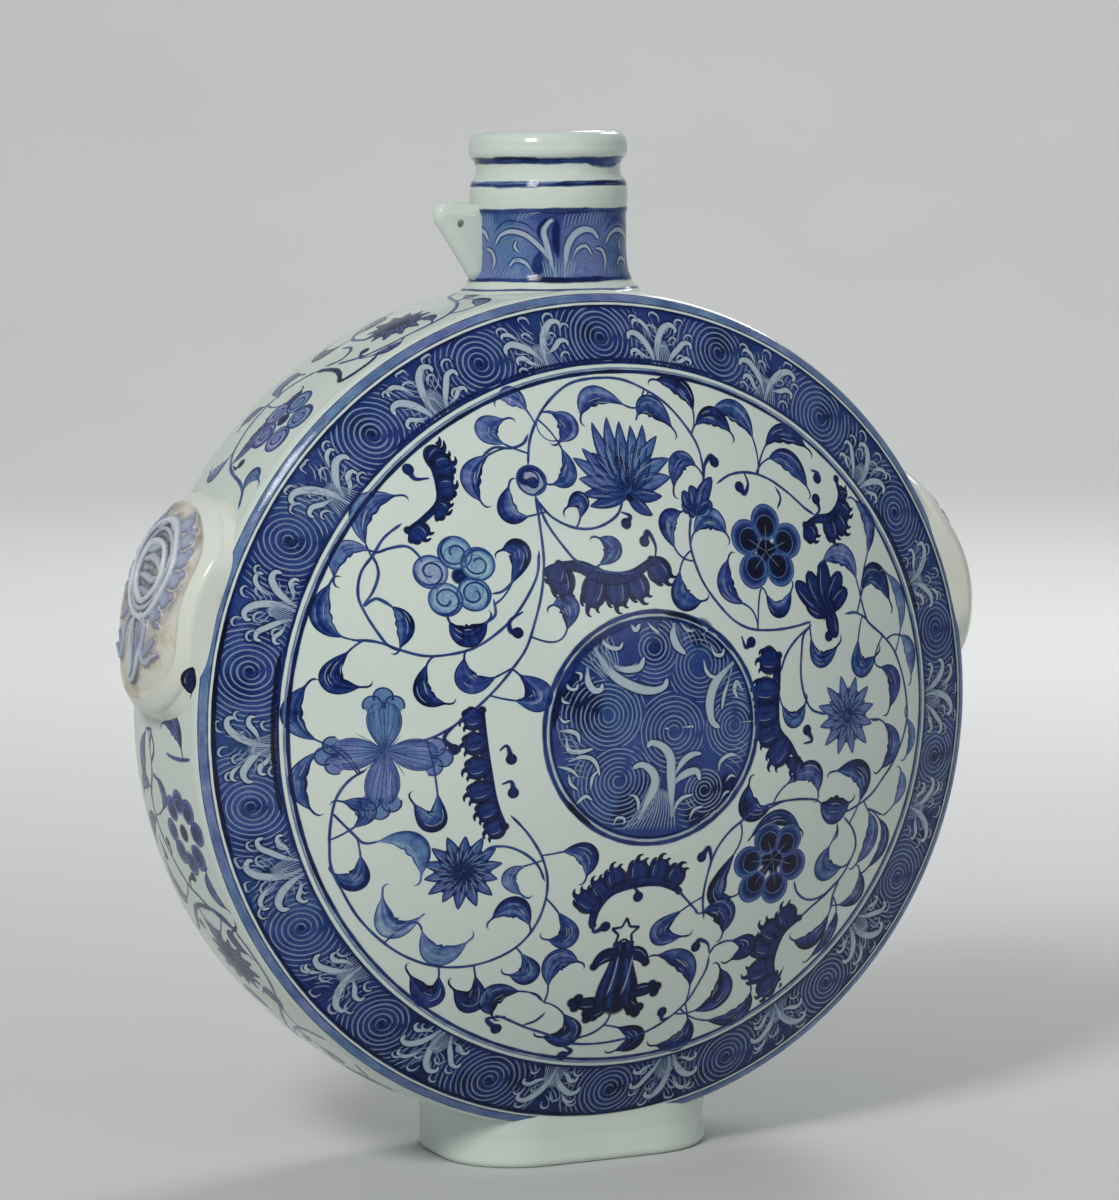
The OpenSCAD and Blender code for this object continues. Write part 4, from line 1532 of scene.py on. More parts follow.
        # The tone carries painted shade below and a painted reflection at the left.
        ink = self.tone(angle)[:, None] + across + 0.05 * layer.wobble(travel(circle), 0.3)[:, None]
        layer.band(circle, half, half, places, ink, np.array([0.0] + [1.0] * 7 + [0.0])[None, :])
        for k in range(64):
            bearing = math.tau * k / 64 + layer.luck.uniform(-0.04, 0.04)
            reach = layer.luck.uniform(self.inner + 8.0, self.outer - 8.0)
            centre = (reach * math.cos(bearing), reach * math.sin(bearing))
            heavy = self.tone(np.array([bearing]))[0] + layer.luck.uniform(-0.2, 0.26)
            radius = layer.luck.uniform(5.0, 7.8)
            layer.shape(ring(centre, radius)[:-1], centre, (heavy, heavy, heavy, heavy), (0.03, 0.4, 0.7, 1.0),
                        (0.7, 0.6, 0.35, 0.0))

    def spot(self, angle: float, place: tuple[float, float], turn: float, size: float) -> tuple[float, float]:
        """Return a place on the face from one in a crest's own frame."""
        bearing = angle - turn * size * place[0] / self.middle
        reach = self.inner + 0.3 + min(place[1] * size, self.outer - self.inner - 1.6)
        return reach * math.cos(bearing), reach * math.sin(bearing)

    def crest(self, brush: WavePainter, angle: float, number: int) -> None:
        """Draw one foam crest that rises from the inner edge.

        Args:
            brush: The wave painter.
            angle: Its bearing in radians.
            number: Its count round the border.
        """
        luck = brush.foam.luck
        turn = 1.0 if number % 4 < 2 else -1.0
        size = luck.uniform(0.94, 1.06)
        fingers = self.SMALL if number % 2 == 0 else self.LARGE
        shift = luck.uniform(-0.02, 0.02)
        back = [self.spot(angle + shift, p, turn, size) for p in ((0, 0), (0.5, 6), (-0.5, 12), (-1, 20))]
        line = smooth(back)
        half = 6.5 - 2.0 * step(travel(line), 0, 20)
        brush.shade.band(line, half, half, (-1.0, -0.6, 0.6, 1.0), np.full((1, 1), 0.60),
                         np.array([0.0, 0.3, 0.3, 0.0])[None, :])
        for roots, ends, count, bow in (
            (((-6.5, 0.5), (6.5, 0.5)), ((-2.2, 12), (2.2, 12)), 11, 0.0),
            (((-2, 10), (0, 16)), ((-8, 17), (-4, 22)), 4, 0.8),
            (((3, 10), (2, 15)), ((9, 14.5), (5, 21)), 4, -0.8),
            (((-6, 9), (-4, 5)), ((-13, 11), (-10, 3)), 3, 0.6),
        ):
            brush.comb([self.spot(angle + shift, p, turn, size) for p in roots],
                       [self.spot(angle + shift, p, turn, size) for p in ends], count, bow * turn)
        for points, width in fingers:
            spots = [self.spot(angle + shift, p, turn, size) for p in points]
            brush.finger(np.asarray(spots), width * size * 1.25, 0.22)
        for x, y in self.HOOKS:
            x, y = x + luck.uniform(-1, 1), y + luck.uniform(-1, 1)
            lean, big = (1.0 if x > 0 else -1.0), luck.uniform(0.8, 1.15)
            hook = [(x + lean * a * big, y + b * big) for a, b in ((-1.6, -2.6), (-1.2, 0.2), (0.8, 1.6), (2.8, 0.9), (2.9, -0.7))]
            brush.finger(np.asarray([self.spot(angle + shift, p, turn, size) for p in hook]), 1.3, 0.5)

    def edges(self, layer: Layer) -> None:
        """Draw the dark and white lines that bound the band, and the heaped blue at the sides."""
        def circle(radius: float, width: float, ink: float, start: float = 0.0, sweep: float = 360.0,
                   cover: float = 1.0) -> None:
            """Draw one line round the face."""
            layer.line(ring((0, 0), radius, start, sweep, 1.6), width, ink, (6, 6) if sweep < 360 else (0, 0), cover,
                       exact=True)

        circle(155.5, 2.0, 0.70)
        circle(157.0, 1.2, 0.30, cover=0.7)
        circle(159.4, 1.3, 0.78)
        circle(184.5, 1.1, 0.84)
        circle(161.0, 1.6, 0.80, 70, 60, 0.8)
        circle(155.6, 1.9, 0.82, 60, 150, 0.8)
        circle(183.9, 2.2, 0.95, 163, 34, 0.9)
        circle(161.2, 2.4, 0.96, 166, 26, 0.8)
        circle(161.2, 2.0, 0.92, 14, 20, 0.7)
        circle(184.2, 2.0, 0.92, 205, 60, 0.7)
        circle(188.4, 4.6, 0.36, cover=0.9)
        circle(186.3, 0.9, 0.62, cover=0.8)
        circle(190.5, 0.9, 0.55, cover=0.8)


@dataclass
class WaveRoundel:
    """The middle roundel: whirlpools, a tree-like crest and curling foam inside a dark ring."""

    name: str
    canvas: FaceCanvas
    seed: int
    radius: float = 53.0

    WHIRLS = (
        ((8.5, -1.5), 2.2, 22.0, 2.1, 0.0), ((-23, 7), 2.0, 24.0, 2.1, 150.0), ((-18, -22), 2.0, 21.0, 2.0, 60.0),
        ((22, 27), 5.0, 24.0, 2.1, 90.0), ((0, 36), 2.5, 17.0, 2.0, 90.0), ((39, -1), 2.0, 16.0, 2.0, 90.0),
        ((24, -29), 1.6, 10.0, 1.7, 0.0), ((-14, 37), 8.0, 16.0, 1.9, 90.0),
    )
    PATCHES = (
        ((-35, 14), 11.0, 0.84), ((-40, 22), 7.0, 0.88), ((-31, 5), 7.0, 0.74), ((-13, -31), 6.0, 0.84),
        ((-16, -38), 5.5, 0.90), ((27, -31), 10.0, 0.84), ((21, -40), 7.0, 0.86), ((36, -28), 6.0, 0.84),
        ((24, 41), 7.0, 0.86), ((8, 43), 7.0, 0.70), ((1, 34), 6.5, 0.72), ((-6, -25), 5.0, 0.70),
        ((33, 33), 6.5, 0.72),
    )
    COMBS = (
        (((-15, -44.5), (10, -45.5)), ((-2.5, -24), (5, -28)), 15, -1.2, 0.75),
        (((-35, 32), (-20, 42)), ((-24, 23), (-17, 29)), 9, 0.6, 0.75),
        (((33, 19), (38, 10)), ((45, 23), (47, 6)), 7, 0.8, 0.6),
        (((-45, -2), (-42, -20)), ((-36, -5), (-32, -20)), 7, 1.0, 0.5),
        (((9, 47), (22, 43)), ((14, 36), (27, 35)), 6, 0.8, 0.5),
        (((40, -8), (34, -18)), ((47, -12), (41, -24)), 5, 0.8, 0.5),
        (((8, -33), (12, -44)), ((20, -33), (22, -44)), 5, -1.5, 0.5),
    )
    FINGERS = (
        (((8, -40), (7.5, -30), (7, -20), (6.5, -13), (4, -9), (0, -6.5), (-3, -6), (-4.6, -7.8)), 5.0),
        (((-8, -40), (-4.5, -33), (-1.2, -26), (-1, -21), (-4, -17), (-8, -15.4), (-11.5, -16.8)), 4.6),
        (((9, -21), (11.5, -17), (14, -14.3), (18, -12.4), (22, -12.4)), 3.4),
        (((8, -26), (11, -22.8), (16, -20.4), (20, -20.4), (21.6, -24.6)), 4.0),
        (((9, -39), (10, -35), (13, -31.8), (18.5, -30.6)), 2.1),
        (((-13, -28.5), (-10, -29.5), (-8.5, -32), (-8.5, -36)), 1.8),
        (((-28, 38), (-24, 30), (-18, 23.5), (-11, 19.5), (-5, 17.5), (1, 17.3), (4.6, 19), (5.6, 22)), 4.8),
        (((-19, 29), (-16, 27.3), (-11, 27), (-7, 28), (-4.8, 32)), 3.6),
        (((-24, 43), (-23, 39), (-20, 36.8), (-16, 36.6), (-14.4, 39)), 2.2),
        (((-31.5, 29), (-31.3, 22), (-28.6, 18.6), (-25.6, 19), (-25.2, 21.4)), 3.4),
        (((-42, 24), (-40, 20), (-37, 19.6), (-36, 22)), 1.6), (((-44, 18), (-43, 14.5), (-40, 13.5)), 1.5),
        (((-37, 27), (-34.5, 26), (-35, 23)), 1.5), (((-45, 8), (-43, 5.5), (-40, 6)), 1.4),
        (((-10, 46.5), (-8, 44), (-5.5, 46.6)), 2.4), (((-2, 47), (0.4, 44.2), (3.4, 42)), 1.5),
        (((11, 46), (10, 41), (11.5, 36), (15.5, 32.2)), 4.2), (((14, 46), (17, 42.6), (20.5, 42)), 1.6),
        (((24, 45), (27, 42), (25, 40)), 1.3), (((28.5, 35), (30.5, 31), (34, 30.6), (35.5, 34)), 1.9),
        (((40, 27), (34, 22.5), (29.5, 18), (27, 12), (26.6, 6), (28, 1), (31.4, -1.6)), 5.0),
        (((24.4, 29), (25.5, 24), (28, 21.4), (32, 21)), 2.0), (((37, 19), (34.2, 13), (32.8, 6.4)), 2.0),
        (((44, 14), (41, 18), (39.6, 14.4), (41.4, 10.6)), 2.4),
        (((31, -21), (32, -17), (36, -14.4), (41, -14.6)), 2.2), (((35, -26), (37.6, -23.6), (40, -24.4)), 1.4),
        (((17, -42), (19, -37.8), (24, -36.4)), 1.6), (((22, -45), (26, -41), (31, -39)), 1.8),
        (((33, -34), (35.5, -31), (39, -31.4)), 1.3),
        (((-45, 1.5), (-40, 1.2), (-37, -0.4), (-36, -4)), 2.2), (((-42, -1), (-41, -7), (-36, -8), (-30, -7)), 2.4),
        (((-41, -12), (-35, -10.4), (-30.4, -11.6), (-28, -15), (-27, -19)), 2.2),
        (((-46, -14), (-40, -16), (-36.6, -19)), 1.7), (((-31, -25), (-30, -19.4), (-27.6, -16.8)), 1.7),
        (((-41, -18), (-40, -22), (-36.6, -25)), 1.6), (((-38, -32), (-33, -28), (-30, -30)), 1.8),
        (((-20, -42), (-18, -38.6), (-14.6, -39.4), (-15, -42)), 1.4),
    )

    def build(self, paints: "Paints") -> None:
        """Paint the roundel.

        Args:
            paints: The materials.
        """
        ground = Layer(self.canvas, self.name + "_roundel_ground", 0.05, paints.cobalt, self.seed)
        rings = Layer(self.canvas, self.name + "_roundel_rings", 0.075, paints.reserve, self.seed + 1)
        shade = Layer(self.canvas, self.name + "_roundel_shade", 0.085, paints.cobalt, self.seed + 2)
        foam = Layer(self.canvas, self.name + "_roundel_foam", 0.11, paints.reserve, self.seed + 3)
        edge = Layer(self.canvas, self.name + "_roundel_lines", 0.13, paints.cobalt, self.seed + 4)
        brush = WavePainter(ground, rings, shade, foam)
        for band_r, half_w in ((40.0, 9.6), (24.5, 6.6), (12.0, 6.6), (3.6, 2.5)):
            circle = ring((0, 0), band_r, gap=2.0)
            half = np.full(len(circle), half_w)
            ground.band(circle, half, half, (-1.0, -0.5, 0.0, 0.5, 1.0),
                        (0.60 + 0.03 * ground.wobble(travel(circle), 0.2))[:, None], np.ones((1, 5)))
        ground.dot((0, 0), 1.6, 0.60)
        for centre, radius, ink in self.PATCHES:
            blot = ring(centre, radius)[:-1]
            ground.shape(blot, centre, (ink, ink, ink - 0.05, ink - 0.1), (0.03, 0.5, 0.8, 1.0), (0.9, 0.9, 0.55, 0))
        centres = [w[0] for w in self.WHIRLS]
        for k, (centre, inner, outer, gap, spin) in enumerate(self.WHIRLS):
            own = nearest(centres, k)
            brush.whirl(centre, inner, outer, lambda p, own=own: own(p) & (np.hypot(p[:, 0], p[:, 1]) < 48.0), gap,
                        width=0.85, ink=0.75, spin=spin)
        for starts, ends, count, bow, width in self.COMBS:
            brush.comb(starts, ends, count, bow, width)
        for points, width in self.FINGERS:
            brush.finger(np.asarray(points, float), width)
        self.rim(edge, foam)
        for layer in (ground, rings, shade, foam, edge):
            layer.build("painted_glaze")

    def rim(self, edge: Layer, foam: Layer) -> None:
        """Draw the roundel's dark and pale rings, heavier at the upper left."""
        edge.line(ring((0, 0), 51.6, gap=1.4), 2.6, 0.68, exact=True)
        foam.line(ring((0, 0), 49.8, gap=1.4), 0.8, 0.35, exact=True)
        edge.line(ring((0, 0), 48.6, gap=1.4), 1.3, 0.80, exact=True, cover=0.9)
        edge.line(ring((0, 0), 48.2, 95, 75, 1.4), 4.2, 0.76, (14, 14), exact=True)
        edge.line(ring((0, 0), 51.0, 60, 25, 1.4), 2.6, 0.93, (6, 6), exact=True, cover=0.9)
        edge.line(ring((0, 0), 47.4, 155, 22, 1.4), 3.4, 0.95, (6, 6), exact=True, cover=0.9)
        edge.line(ring((0, 0), 51.0, 214, 22, 1.4), 3.2, 0.98, (6, 6), exact=True, cover=0.9)


# The flower scroll of the drum wall


@dataclass
class WallScroll:
    """The scroll on one half of the drum wall, from the neck past a side boss to the foot."""

    name: str
    canvas: WallCanvas
    seed: int

    STEMS = (
        ((505, 33), (497, 28), (493, 20), (490, 8), (487, 0), (480, -9), (470, -14), (460, -16.5), (450, -16),
         (440, -12), (432, -5), (428, 0)),
        ((421, 12), (418, 18), (412, 26), (402, 31), (390, 33), (380, 33.5), (370, 31), (363, 25), (358, 15),
         (356, 5), (352, -8), (344, -18)),
        ((402, 5), (403, -8), (398, -18), (388, -26), (372, -28)),
        ((620, 38), (621, 30), (621, 20), (620, 12)),
        ((703, 34), (695, 20), (688, 8), (684, 0), (678, -6), (670, -12), (660, -18), (650, -20), (640, -18),
         (634, -13), (628, -11)),
        ((740, 30), (732, 35), (722, 37.5), (710, 36), (703, 33)),
        ((770, 38), (765, 28), (764, 18), (768, 5), (775, -8), (790, -30)),
        ((740, 30), (750, 20), (757, 10), (765, 0), (780, -20), (796, -30), (815, -32), (832, -24)),
        ((790, 34), (800, 26), (806, 18)),
    )
    BOLD = (
        ((428, 0), (426, 8), (425, 18), (427, 26), (430, 32), (425, 35), (415, 36), (409, 34)),
        ((700, 38), (702, 33), (697, 28), (694, 20), (693, 10), (694, 0), (697, -8), (703, -16), (710, -25),
         (715, -35)),
    )
    LEAVES = (
        (487, -2, 470, 6, 460, 0, 8, Tone.MID), (450, 3, 446, 10, 439, 6, 5, Tone.DARK),
        (480, -10, 496, -16, 490, -26, 7, Tone.PALE), (452, -18, 458, -30, 466, -29, 7, Tone.MID),
        (446, -12, 436, -36, 430, -12, 10, Tone.MID), (405, -13, 424, -20, 408, -32, 8, Tone.DARK),
        (358, 34, 349, 30, 352, 18, 7, Tone.MID), (356, 12, 344, 12, 346, -2, 7, Tone.DARK),
        (378, 31, 374, 22, 380, 20, 5, Tone.MID), (412, 30, 403, 38, 396, 35, 5, Tone.MID),
        (398, -16, 384, -14, 380, -30, 7, Tone.MID), (497, 28, 484, 24, 490, 37, 7, Tone.PALE),
        (618, 30, 602, 26, 607, 8, 8, Tone.MID), (612, -16, 626, -30, 640, -27, 8, Tone.MID),
        (655, -20, 654, -34, 668, -36, 7, Tone.DARK), (692, -14, 698, -32, 676, -30, 9, Tone.DARK),
        (705, 15, 712, 3, 698, -1, 6, Tone.MID), (717, 34, 708, 20, 703, 31, 7, Tone.DARK),
        (752, 22, 738, 28, 740, 16, 8, Tone.DARK), (757, -2, 744, -8, 748, -24, 8, Tone.DARK),
        (776, 16, 790, 20, 792, 6, 8, Tone.MID), (640, -17, 634, -30, 644, -36, 6, Tone.MID),
        (692, 38, 684, 24, 672, 31, 6, Tone.MID), (648, -5, 640, 8, 632, -8, 6, Tone.PALE),
        (786, -24, 776, -34, 764, -28, 7, Tone.MID), (812, -32, 822, -16, 838, -14, 7, Tone.MID),
    )
    CURLS = (
        ((486, 2), (487, 7), (484, 9)), ((412, 26), (413, 22), (409.5, 20)), ((686, 1), (680, 5), (678, 12)),
        ((398, -18), (396, -17), (392, -15)), ((672, -12), (668, -9), (664, -10)), ((703, -10), (708, -10), (706, -12)),
        ((664, -27), (669, -25), (673, -24)), ((766, 12), (772, 14), (774, 9)),
    )
    RINGS = (
        ((424, 3), (418, 10), (412, 8), (409, 2), (410, -6)), ((620, -12), (612, -8), (612, -16)),
        ((648, -4), (640, 2), (634, -4), (633, -10)), ((628, -12), (620, -5), (612, -8)),
    )

    def build(self, paints: "Paints") -> None:
        """Paint this half of the wall.

        Args:
            paints: The materials.
        """
        wash = Layer(self.canvas, self.name + "_wall_wash", 0.03, paints.cobalt, self.seed)
        lines = Layer(self.canvas, self.name + "_wall_lines", 0.06, paints.cobalt, self.seed + 1)
        lights = Layer(self.canvas, self.name + "_wall_lights", 0.09, paints.reserve, self.seed + 2)
        brush = ScrollPainter(wash, lines, lights, Inks())
        for points in self.STEMS:
            brush.stem(points, 2.3, 0.50)
        for points in self.BOLD:
            lines.line(points, 3.4, 0.84, (4, 4))
        stems = np.vstack([smooth(points) for points in self.STEMS])
        for x0, y0, x1, y1, x2, y2, width, tone in self.LEAVES:
            brush.stalk(stems, (x0, y0), (x1, y1))
            brush.leaf((x0, y0), (x1, y1), (x2, y2), width, tone.value)
        for points in self.RINGS:
            lines.line(points, 2.0, 0.66, (3, 3))
        for points in self.CURLS:
            brush.curl(points, 2.7)
        brush.spiral_flower((458, 17), ((468, 26), (454, 29), (468, 11), (447, 16), (456, 6)), 7.6,
                            (0.34, 0.22, 0.48), 0.66)
        brush.star_flower((387, 10), 12, 17.0, 0.80, 0.58, 1.05)
        hub = (656, 18)
        for spot, size in (((645, 28), 6), ((655, 33), 6), ((667, 27), 6.4), ((671, 17), 5.6), ((666, 8), 6),
                           ((656, 4), 5.6), ((645, 10), 6), ((641, 19), 5.6)):
            brush.round_petal(spot, hub, size, (0.84, 0.58, 0.36))
        wash.dot(hub, 4.6, 0.92)
        brush.star_flower((723, 8), 13, 17.0, 0.82, 0.60, 1.25)
        brush.star_flower((812, 6), 12, 16.0, 0.74, 0.50)
        for layer in (wash, lines, lights):
            layer.build("painted_glaze")


# The neck's wave band


@dataclass
class NeckBand:
    """A band of foam crests round the neck, between dark lines."""

    name: str
    canvas: NeckCanvas
    seed: int
    groups: int = 4
    low: float = 402.5
    high: float = 434.5

    FINGERS = (
        (((-11, 405), (-15, 413), (-20, 419), (-26, 423.5), (-33, 425), (-39, 423), (-42, 419)), 2.6),
        (((-12, 404), (-14, 412), (-16, 420), (-17, 425), (-14.5, 429), (-11, 431)), 3.1),
        (((-8, 404), (-7, 412), (-6, 418), (-3, 423), (2, 425.5), (7, 424.5), (10, 421)), 3.6),
        (((-28, 415), (-31, 418), (-30, 421)), 1.6),
        (((-4, 412), (-1, 417), (3, 418), (6, 414)), 1.8),
        (((-22, 406), (-26, 411), (-31, 412), (-34, 409)), 2.0),
        (((12, 406), (14, 411), (12, 416), (8, 417)), 2.0),
    )
    DARKS = (
        (((-19, 421), (-19.5, 426), (-16, 430), (-11, 432)), 1.8, 0.86),
        (((-10.5, 413), (-11.5, 420), (-11, 430)), 4.6, 0.82),
        (((-20, 404), (-20, 410), (-19, 416)), 7.0, 0.78),
        (((-24, 404), (-10, 403.5), (0, 403)), 1.6, 0.9),
        (((-43, 424), (-36, 429.5), (-26, 428.5), (-20, 424)), 1.1, 0.7),
    )

    def build(self, paints: "Paints") -> None:
        """Paint the band.

        Args:
            paints: The materials.
        """
        ground = Layer(self.canvas, self.name + "_ground", 0.02, paints.cobalt, self.seed)
        rings = Layer(self.canvas, self.name + "_rings", 0.045, paints.reserve, self.seed + 1)
        shade = Layer(self.canvas, self.name + "_shade", 0.07, paints.cobalt, self.seed + 2)
        foam = Layer(self.canvas, self.name + "_foam", 0.095, paints.reserve, self.seed + 3)
        edge = Layer(self.canvas, self.name + "_lines", 0.12, paints.cobalt, self.seed + 4)
        brush = WavePainter(ground, rings, shade, foam)
        turn = math.tau * self.canvas.unit_r
        middle = (self.low + self.high) / 2
        row = np.stack([np.linspace(0, turn, 160), np.full(160, middle)], 1)
        half = np.full(160, (self.high - self.low) / 2)
        places = np.linspace(-1.0, 1.0, 33)
        edge_ink = 0.12 * step(np.abs(places), 0.86, 1.0)
        ink = (0.40 + 0.09 * ground.wobble(row[:, 0], 0.3))[:, None] + edge_ink[None, :]
        ink = ink + 0.14 * step(places, 0.35, 1.0)[None, :]
        ground.band(row, half, half, places, ink, (1 - step(np.abs(places), 0.97, 1.0))[None, :])
        for k in range(self.groups):
            shift = turn * k / self.groups
            self.group(brush, shift)
        for height, width, ink_at, cover in (
            (456.6, 3.3, 0.66, 1.0), (446.2, 2.9, 0.34, 0.85), (445.8, 1.5, 0.68, 0.9), (398.6, 1.1, 0.55, 0.8),
            (self.low + 0.4, 1.8, 0.66, 1.0), (self.high - 0.3, 2.2, 0.60, 0.9),
        ):
            line = np.stack([np.linspace(0, turn, 150), np.full(150, height)], 1)
            line[:, 1] += 0.25 * edge.wobble(line[:, 0], 0.25)
            edge.line(line, width, ink_at, cover=cover, exact=True)
        for strokes, width, ink_at in (
            (((-46, 456.8), (-32, 457.2), (-16, 456.6)), 3.6, 0.86), (((4, 456.0), (16, 455.4), (32, 455.6)), 5.0, 0.52),
            (((-44, 445.6), (-30, 446.2), (-16, 445.8)), 3.6, 0.42), (((-12, 446.2), (6, 446.4), (30, 446.0)), 2.6, 0.86),
            (((-20, 434.5), (-6, 434.0), (8, 434.5)), 3.2, 0.78), (((-26, 403.6), (-8, 402.8), (14, 403.4)), 3.0, 0.84),
        ):
            edge.line(strokes, width, ink_at, (6, 6), 0.9)
        for layer in (ground, rings, shade, foam, edge):
            layer.build("painted_glaze")

    def group(self, brush: WavePainter, shift: float) -> None:
        """Draw one group of crests, moved round the neck.

        Args:
            brush: The wave painter.
            shift: How far round it lies.
        """
        def moved(points: Path) -> Array:
            """Return points moved round the neck."""
            return np.asarray(points, float) + (shift, 0.0)

        for points, width, ink in self.DARKS:
            brush.shade.line(moved(points), width, ink - 0.08, (4, 4), 0.85)
        for centre, outer in (((-32, 416), 12.0), ((3, 410), 11.0), ((-16, 412), 5.0)):
            for k in range(int(outer / 2)):
                brush.rings.line(ring((centre[0] + shift, centre[1]), 1.5 + 2.0 * k, 20, 140, 0.9), 0.6, 0.7,
                                 (1, 1), 0.7, exact=True)
        for starts, ends, count, bow in (
            (((-30, 428.5), (-20, 433)), ((-27, 433.6), (-16, 434)), 6, 0.4),
            (((-8, 427), (12, 427)), ((-6, 433.6), (14, 433.6)), 12, 0.3),
            (((-16, 403.5), (-5, 403.5)), ((-18, 412), (-2, 412)), 11, 0.0),
            (((-42, 404), (-30, 404)), ((-40, 409), (-28, 409)), 6, 0.3),
        ):
            brush.comb([tuple(p) for p in moved(starts)], [tuple(p) for p in moved(ends)], count, bow)
        for points, width in self.FINGERS:
            brush.finger(moved(points), width, 0.30, 0.58)


# The carved side bosses


@dataclass
class CarvedBoss:
    """A side boss with its carved lotus, rings, scalloped lobes, leaves and a plain glazed collar."""

    name: str
    canvas: BossCanvas
    node: str
    relief: str
    patch: bool = False
    margin: float = 5.2
    sunk: float = 1.7
    bold: float = 1.15
    deep: float = 1.08
    steps: int = 400

    RINGS = (((5, 11.5), 14.2, 3.3, 2.1), ((5, 12.5), 18.4, 2.3, 1.3), ((4.5, 13), 22.5, 3.3, 2.1))
    LOBES = (-50, -28, -7, 14, 35, 57)
    LINES = (
        (((-3, 20), (4, 22), (10, 24), (15, 21.5)), 3.0, 1.2),
        (((-4, 16), (3, 17.5), (11, 16), (18, 12)), 3.2, 1.4),
        (((-5, 9), (3, 8.5), (11, 7.5), (18, 9.5)), 3.0, 1.3),
        (((-2, 3), (4, 2), (10, 1.5), (14, 4)), 2.6, 1.0),
        (((-3, 31), (1, 34), (4, 37.6), (7, 37.4), (9, 34), (13, 31.5)), 2.2, 1.4),
        (((-9, 30), (-4, 33.5), (2, 34.5)), 2.0, 1.1),
        (((2, -8.5), (0.5, -13), (1.6, -19), (4, -24), (5, -29), (4, -34), (0, -38)), 2.3, 1.6),
        (((3, -8.5), (9, -10.5), (14.5, -14), (15.3, -20), (13, -27), (10, -33), (5, -37.5), (0, -38.2)), 2.3, 1.6),
        (((6, -14), (7.6, -20), (8.4, -27), (6, -33)), 1.8, 0.7),
        (((11, -15), (11, -21), (9.6, -27)), 1.5, 0.6),
    )
    PAIRED = (
        (((8, -8), (12, -10), (15, -12.6), (15.6, -18), (15, -24), (17, -28.4), (20, -28.8), (24, -26), (28, -24.3)),
         2.6, 1.7),
        (((18.4, -25.4), (21, -22), (25.6, -18)), 3.6, 1.3),
        (((20, -10), (24, -11.4), (28, -12.2)), 2.2, 1.0),
        (((11, 36.4), (16, 37), (21, 34.6), (26, 31), (28, 28)), 2.2, 1.3),
        (((10, 33.6), (16, 34.4), (22, 32.4)), 1.6, 0.9),
    )

    @staticmethod
    def away(places: Array, line: Array) -> tuple[Array, Array]:
        """Return each place's distance from a line and the share of the line where it is nearest."""
        near = np.full(len(places), 1e9)
        where = np.zeros(len(places))
        for k, (a, b) in enumerate(zip(line[:-1], line[1:])):
            ahead = b - a
            share = np.clip(((places - a) @ ahead) / max(float(ahead @ ahead), 1e-9), 0.0, 1.0)
            gap = np.linalg.norm(places - a - share[:, None] * ahead, axis=1)
            where = np.where(gap < near, (k + share) / (len(line) - 1), where)
            near = np.minimum(near, gap)
        return near, where

    def fold(self, places: Array, points: Path, width: float) -> Array:
        """Return how far places lie inside a fold that tapers at both ends."""
        gap, where = self.away(places, smooth(points, 2.0))
        half = self.bold * 1.3 * width / 2 * (0.4 + 0.6 * np.sin(np.pi * np.clip(where, 0.02, 0.98)) ** 0.6)
        return 1 - gap / half

    def edge(self, angle: Array) -> Array:
        """Return how far out the sunken panel reaches."""
        return self.canvas.shoulder_at(angle) - self.margin

    def marks(self, places: Array) -> list[tuple[Array, float]]:
        """Return every raised form.

        Args:
            places: Places on the boss.

        Returns:
            For each form, how far the places lie inside it from 0 to 1, and its height.
        """
        found = []
        for centre, radius, width, height in self.RINGS:
            spread = places - centre
            turn = np.arctan2(spread[:, 1], spread[:, 0])
            uneven = 0.45 * np.sin(2 * turn + radius) + 0.3 * np.sin(5 * turn + 2 * radius)
            off = np.abs(np.linalg.norm(spread, axis=1) - radius - uneven)
            width = width * (1 + 0.16 * np.sin(3 * turn + radius))
            found.append((1 - off / (self.bold * width / 2), height))
        other = places * (-1.0, 1.0) + (6.0, 0.0)
        for spots in (places, other):
            for degrees in self.LOBES:
                a = math.radians(degrees)
                middle = np.array([4.5 + 26.4 * math.cos(a), 13 + 26.4 * math.sin(a)])
                off = np.linalg.norm(spots - middle, axis=1)
                found.append((1 - off / 4.7, 1.5))
                tip = middle + 4.6 * np.array([math.cos(a + 0.9), math.sin(a + 0.9)])
                found.append((1 - np.linalg.norm(spots - tip, axis=1) / 2.6, 1.3))
            for points, width, height in self.PAIRED:
                found.append((self.fold(spots, points, width), height))
        for points, width, height in self.LINES:
            found.append((self.fold(places, points, width), height))
        return found

    def carve(self, places: Array) -> tuple[Array, Array, Array]:
        """Return the carving's height, its raised share and the shade in its grooves."""
        inside = self.edge(np.arctan2(places[:, 1], places[:, 0])) - np.linalg.norm(places, axis=1)
        ground = -self.sunk * step(inside, 0.2, 2.4)
        bloom = 1 - step(np.linalg.norm(places - (4.5, 13.0), axis=1), 20.5, 24.0)
        leaf = 1 - step(self.away(places, smooth(((3, -10), (8, -18), (9, -27), (1, -37)), 2.0))[0], 3.5, 6.0)
        wash = np.maximum(bloom, leaf)
        raised = np.zeros(len(places))
        shade = np.zeros(len(places))
        for within, tall in self.marks(places):
            body = np.sqrt(np.clip(1 - (1 - np.clip(within, 0, 1)) ** 2, 0, 1)) * tall
            raised = np.maximum(raised, body)
            # Painted shade in the grooves just outside each raised form.
            shade = np.maximum(shade, step(within, -1.6, -0.1) * (within < 0.05) * min(tall, 1.5) / 1.5)
        worn = 0.10 * np.sin(places[:, 0] * 1.7 + 2 * np.sin(places[:, 1] * 0.9)) * np.sin(places[:, 1] * 1.3)
        height = ground + 0.6 * wash + self.deep * raised * step(inside, 0.3, 2.0) + worn * step(inside, 0.5, 2.0)
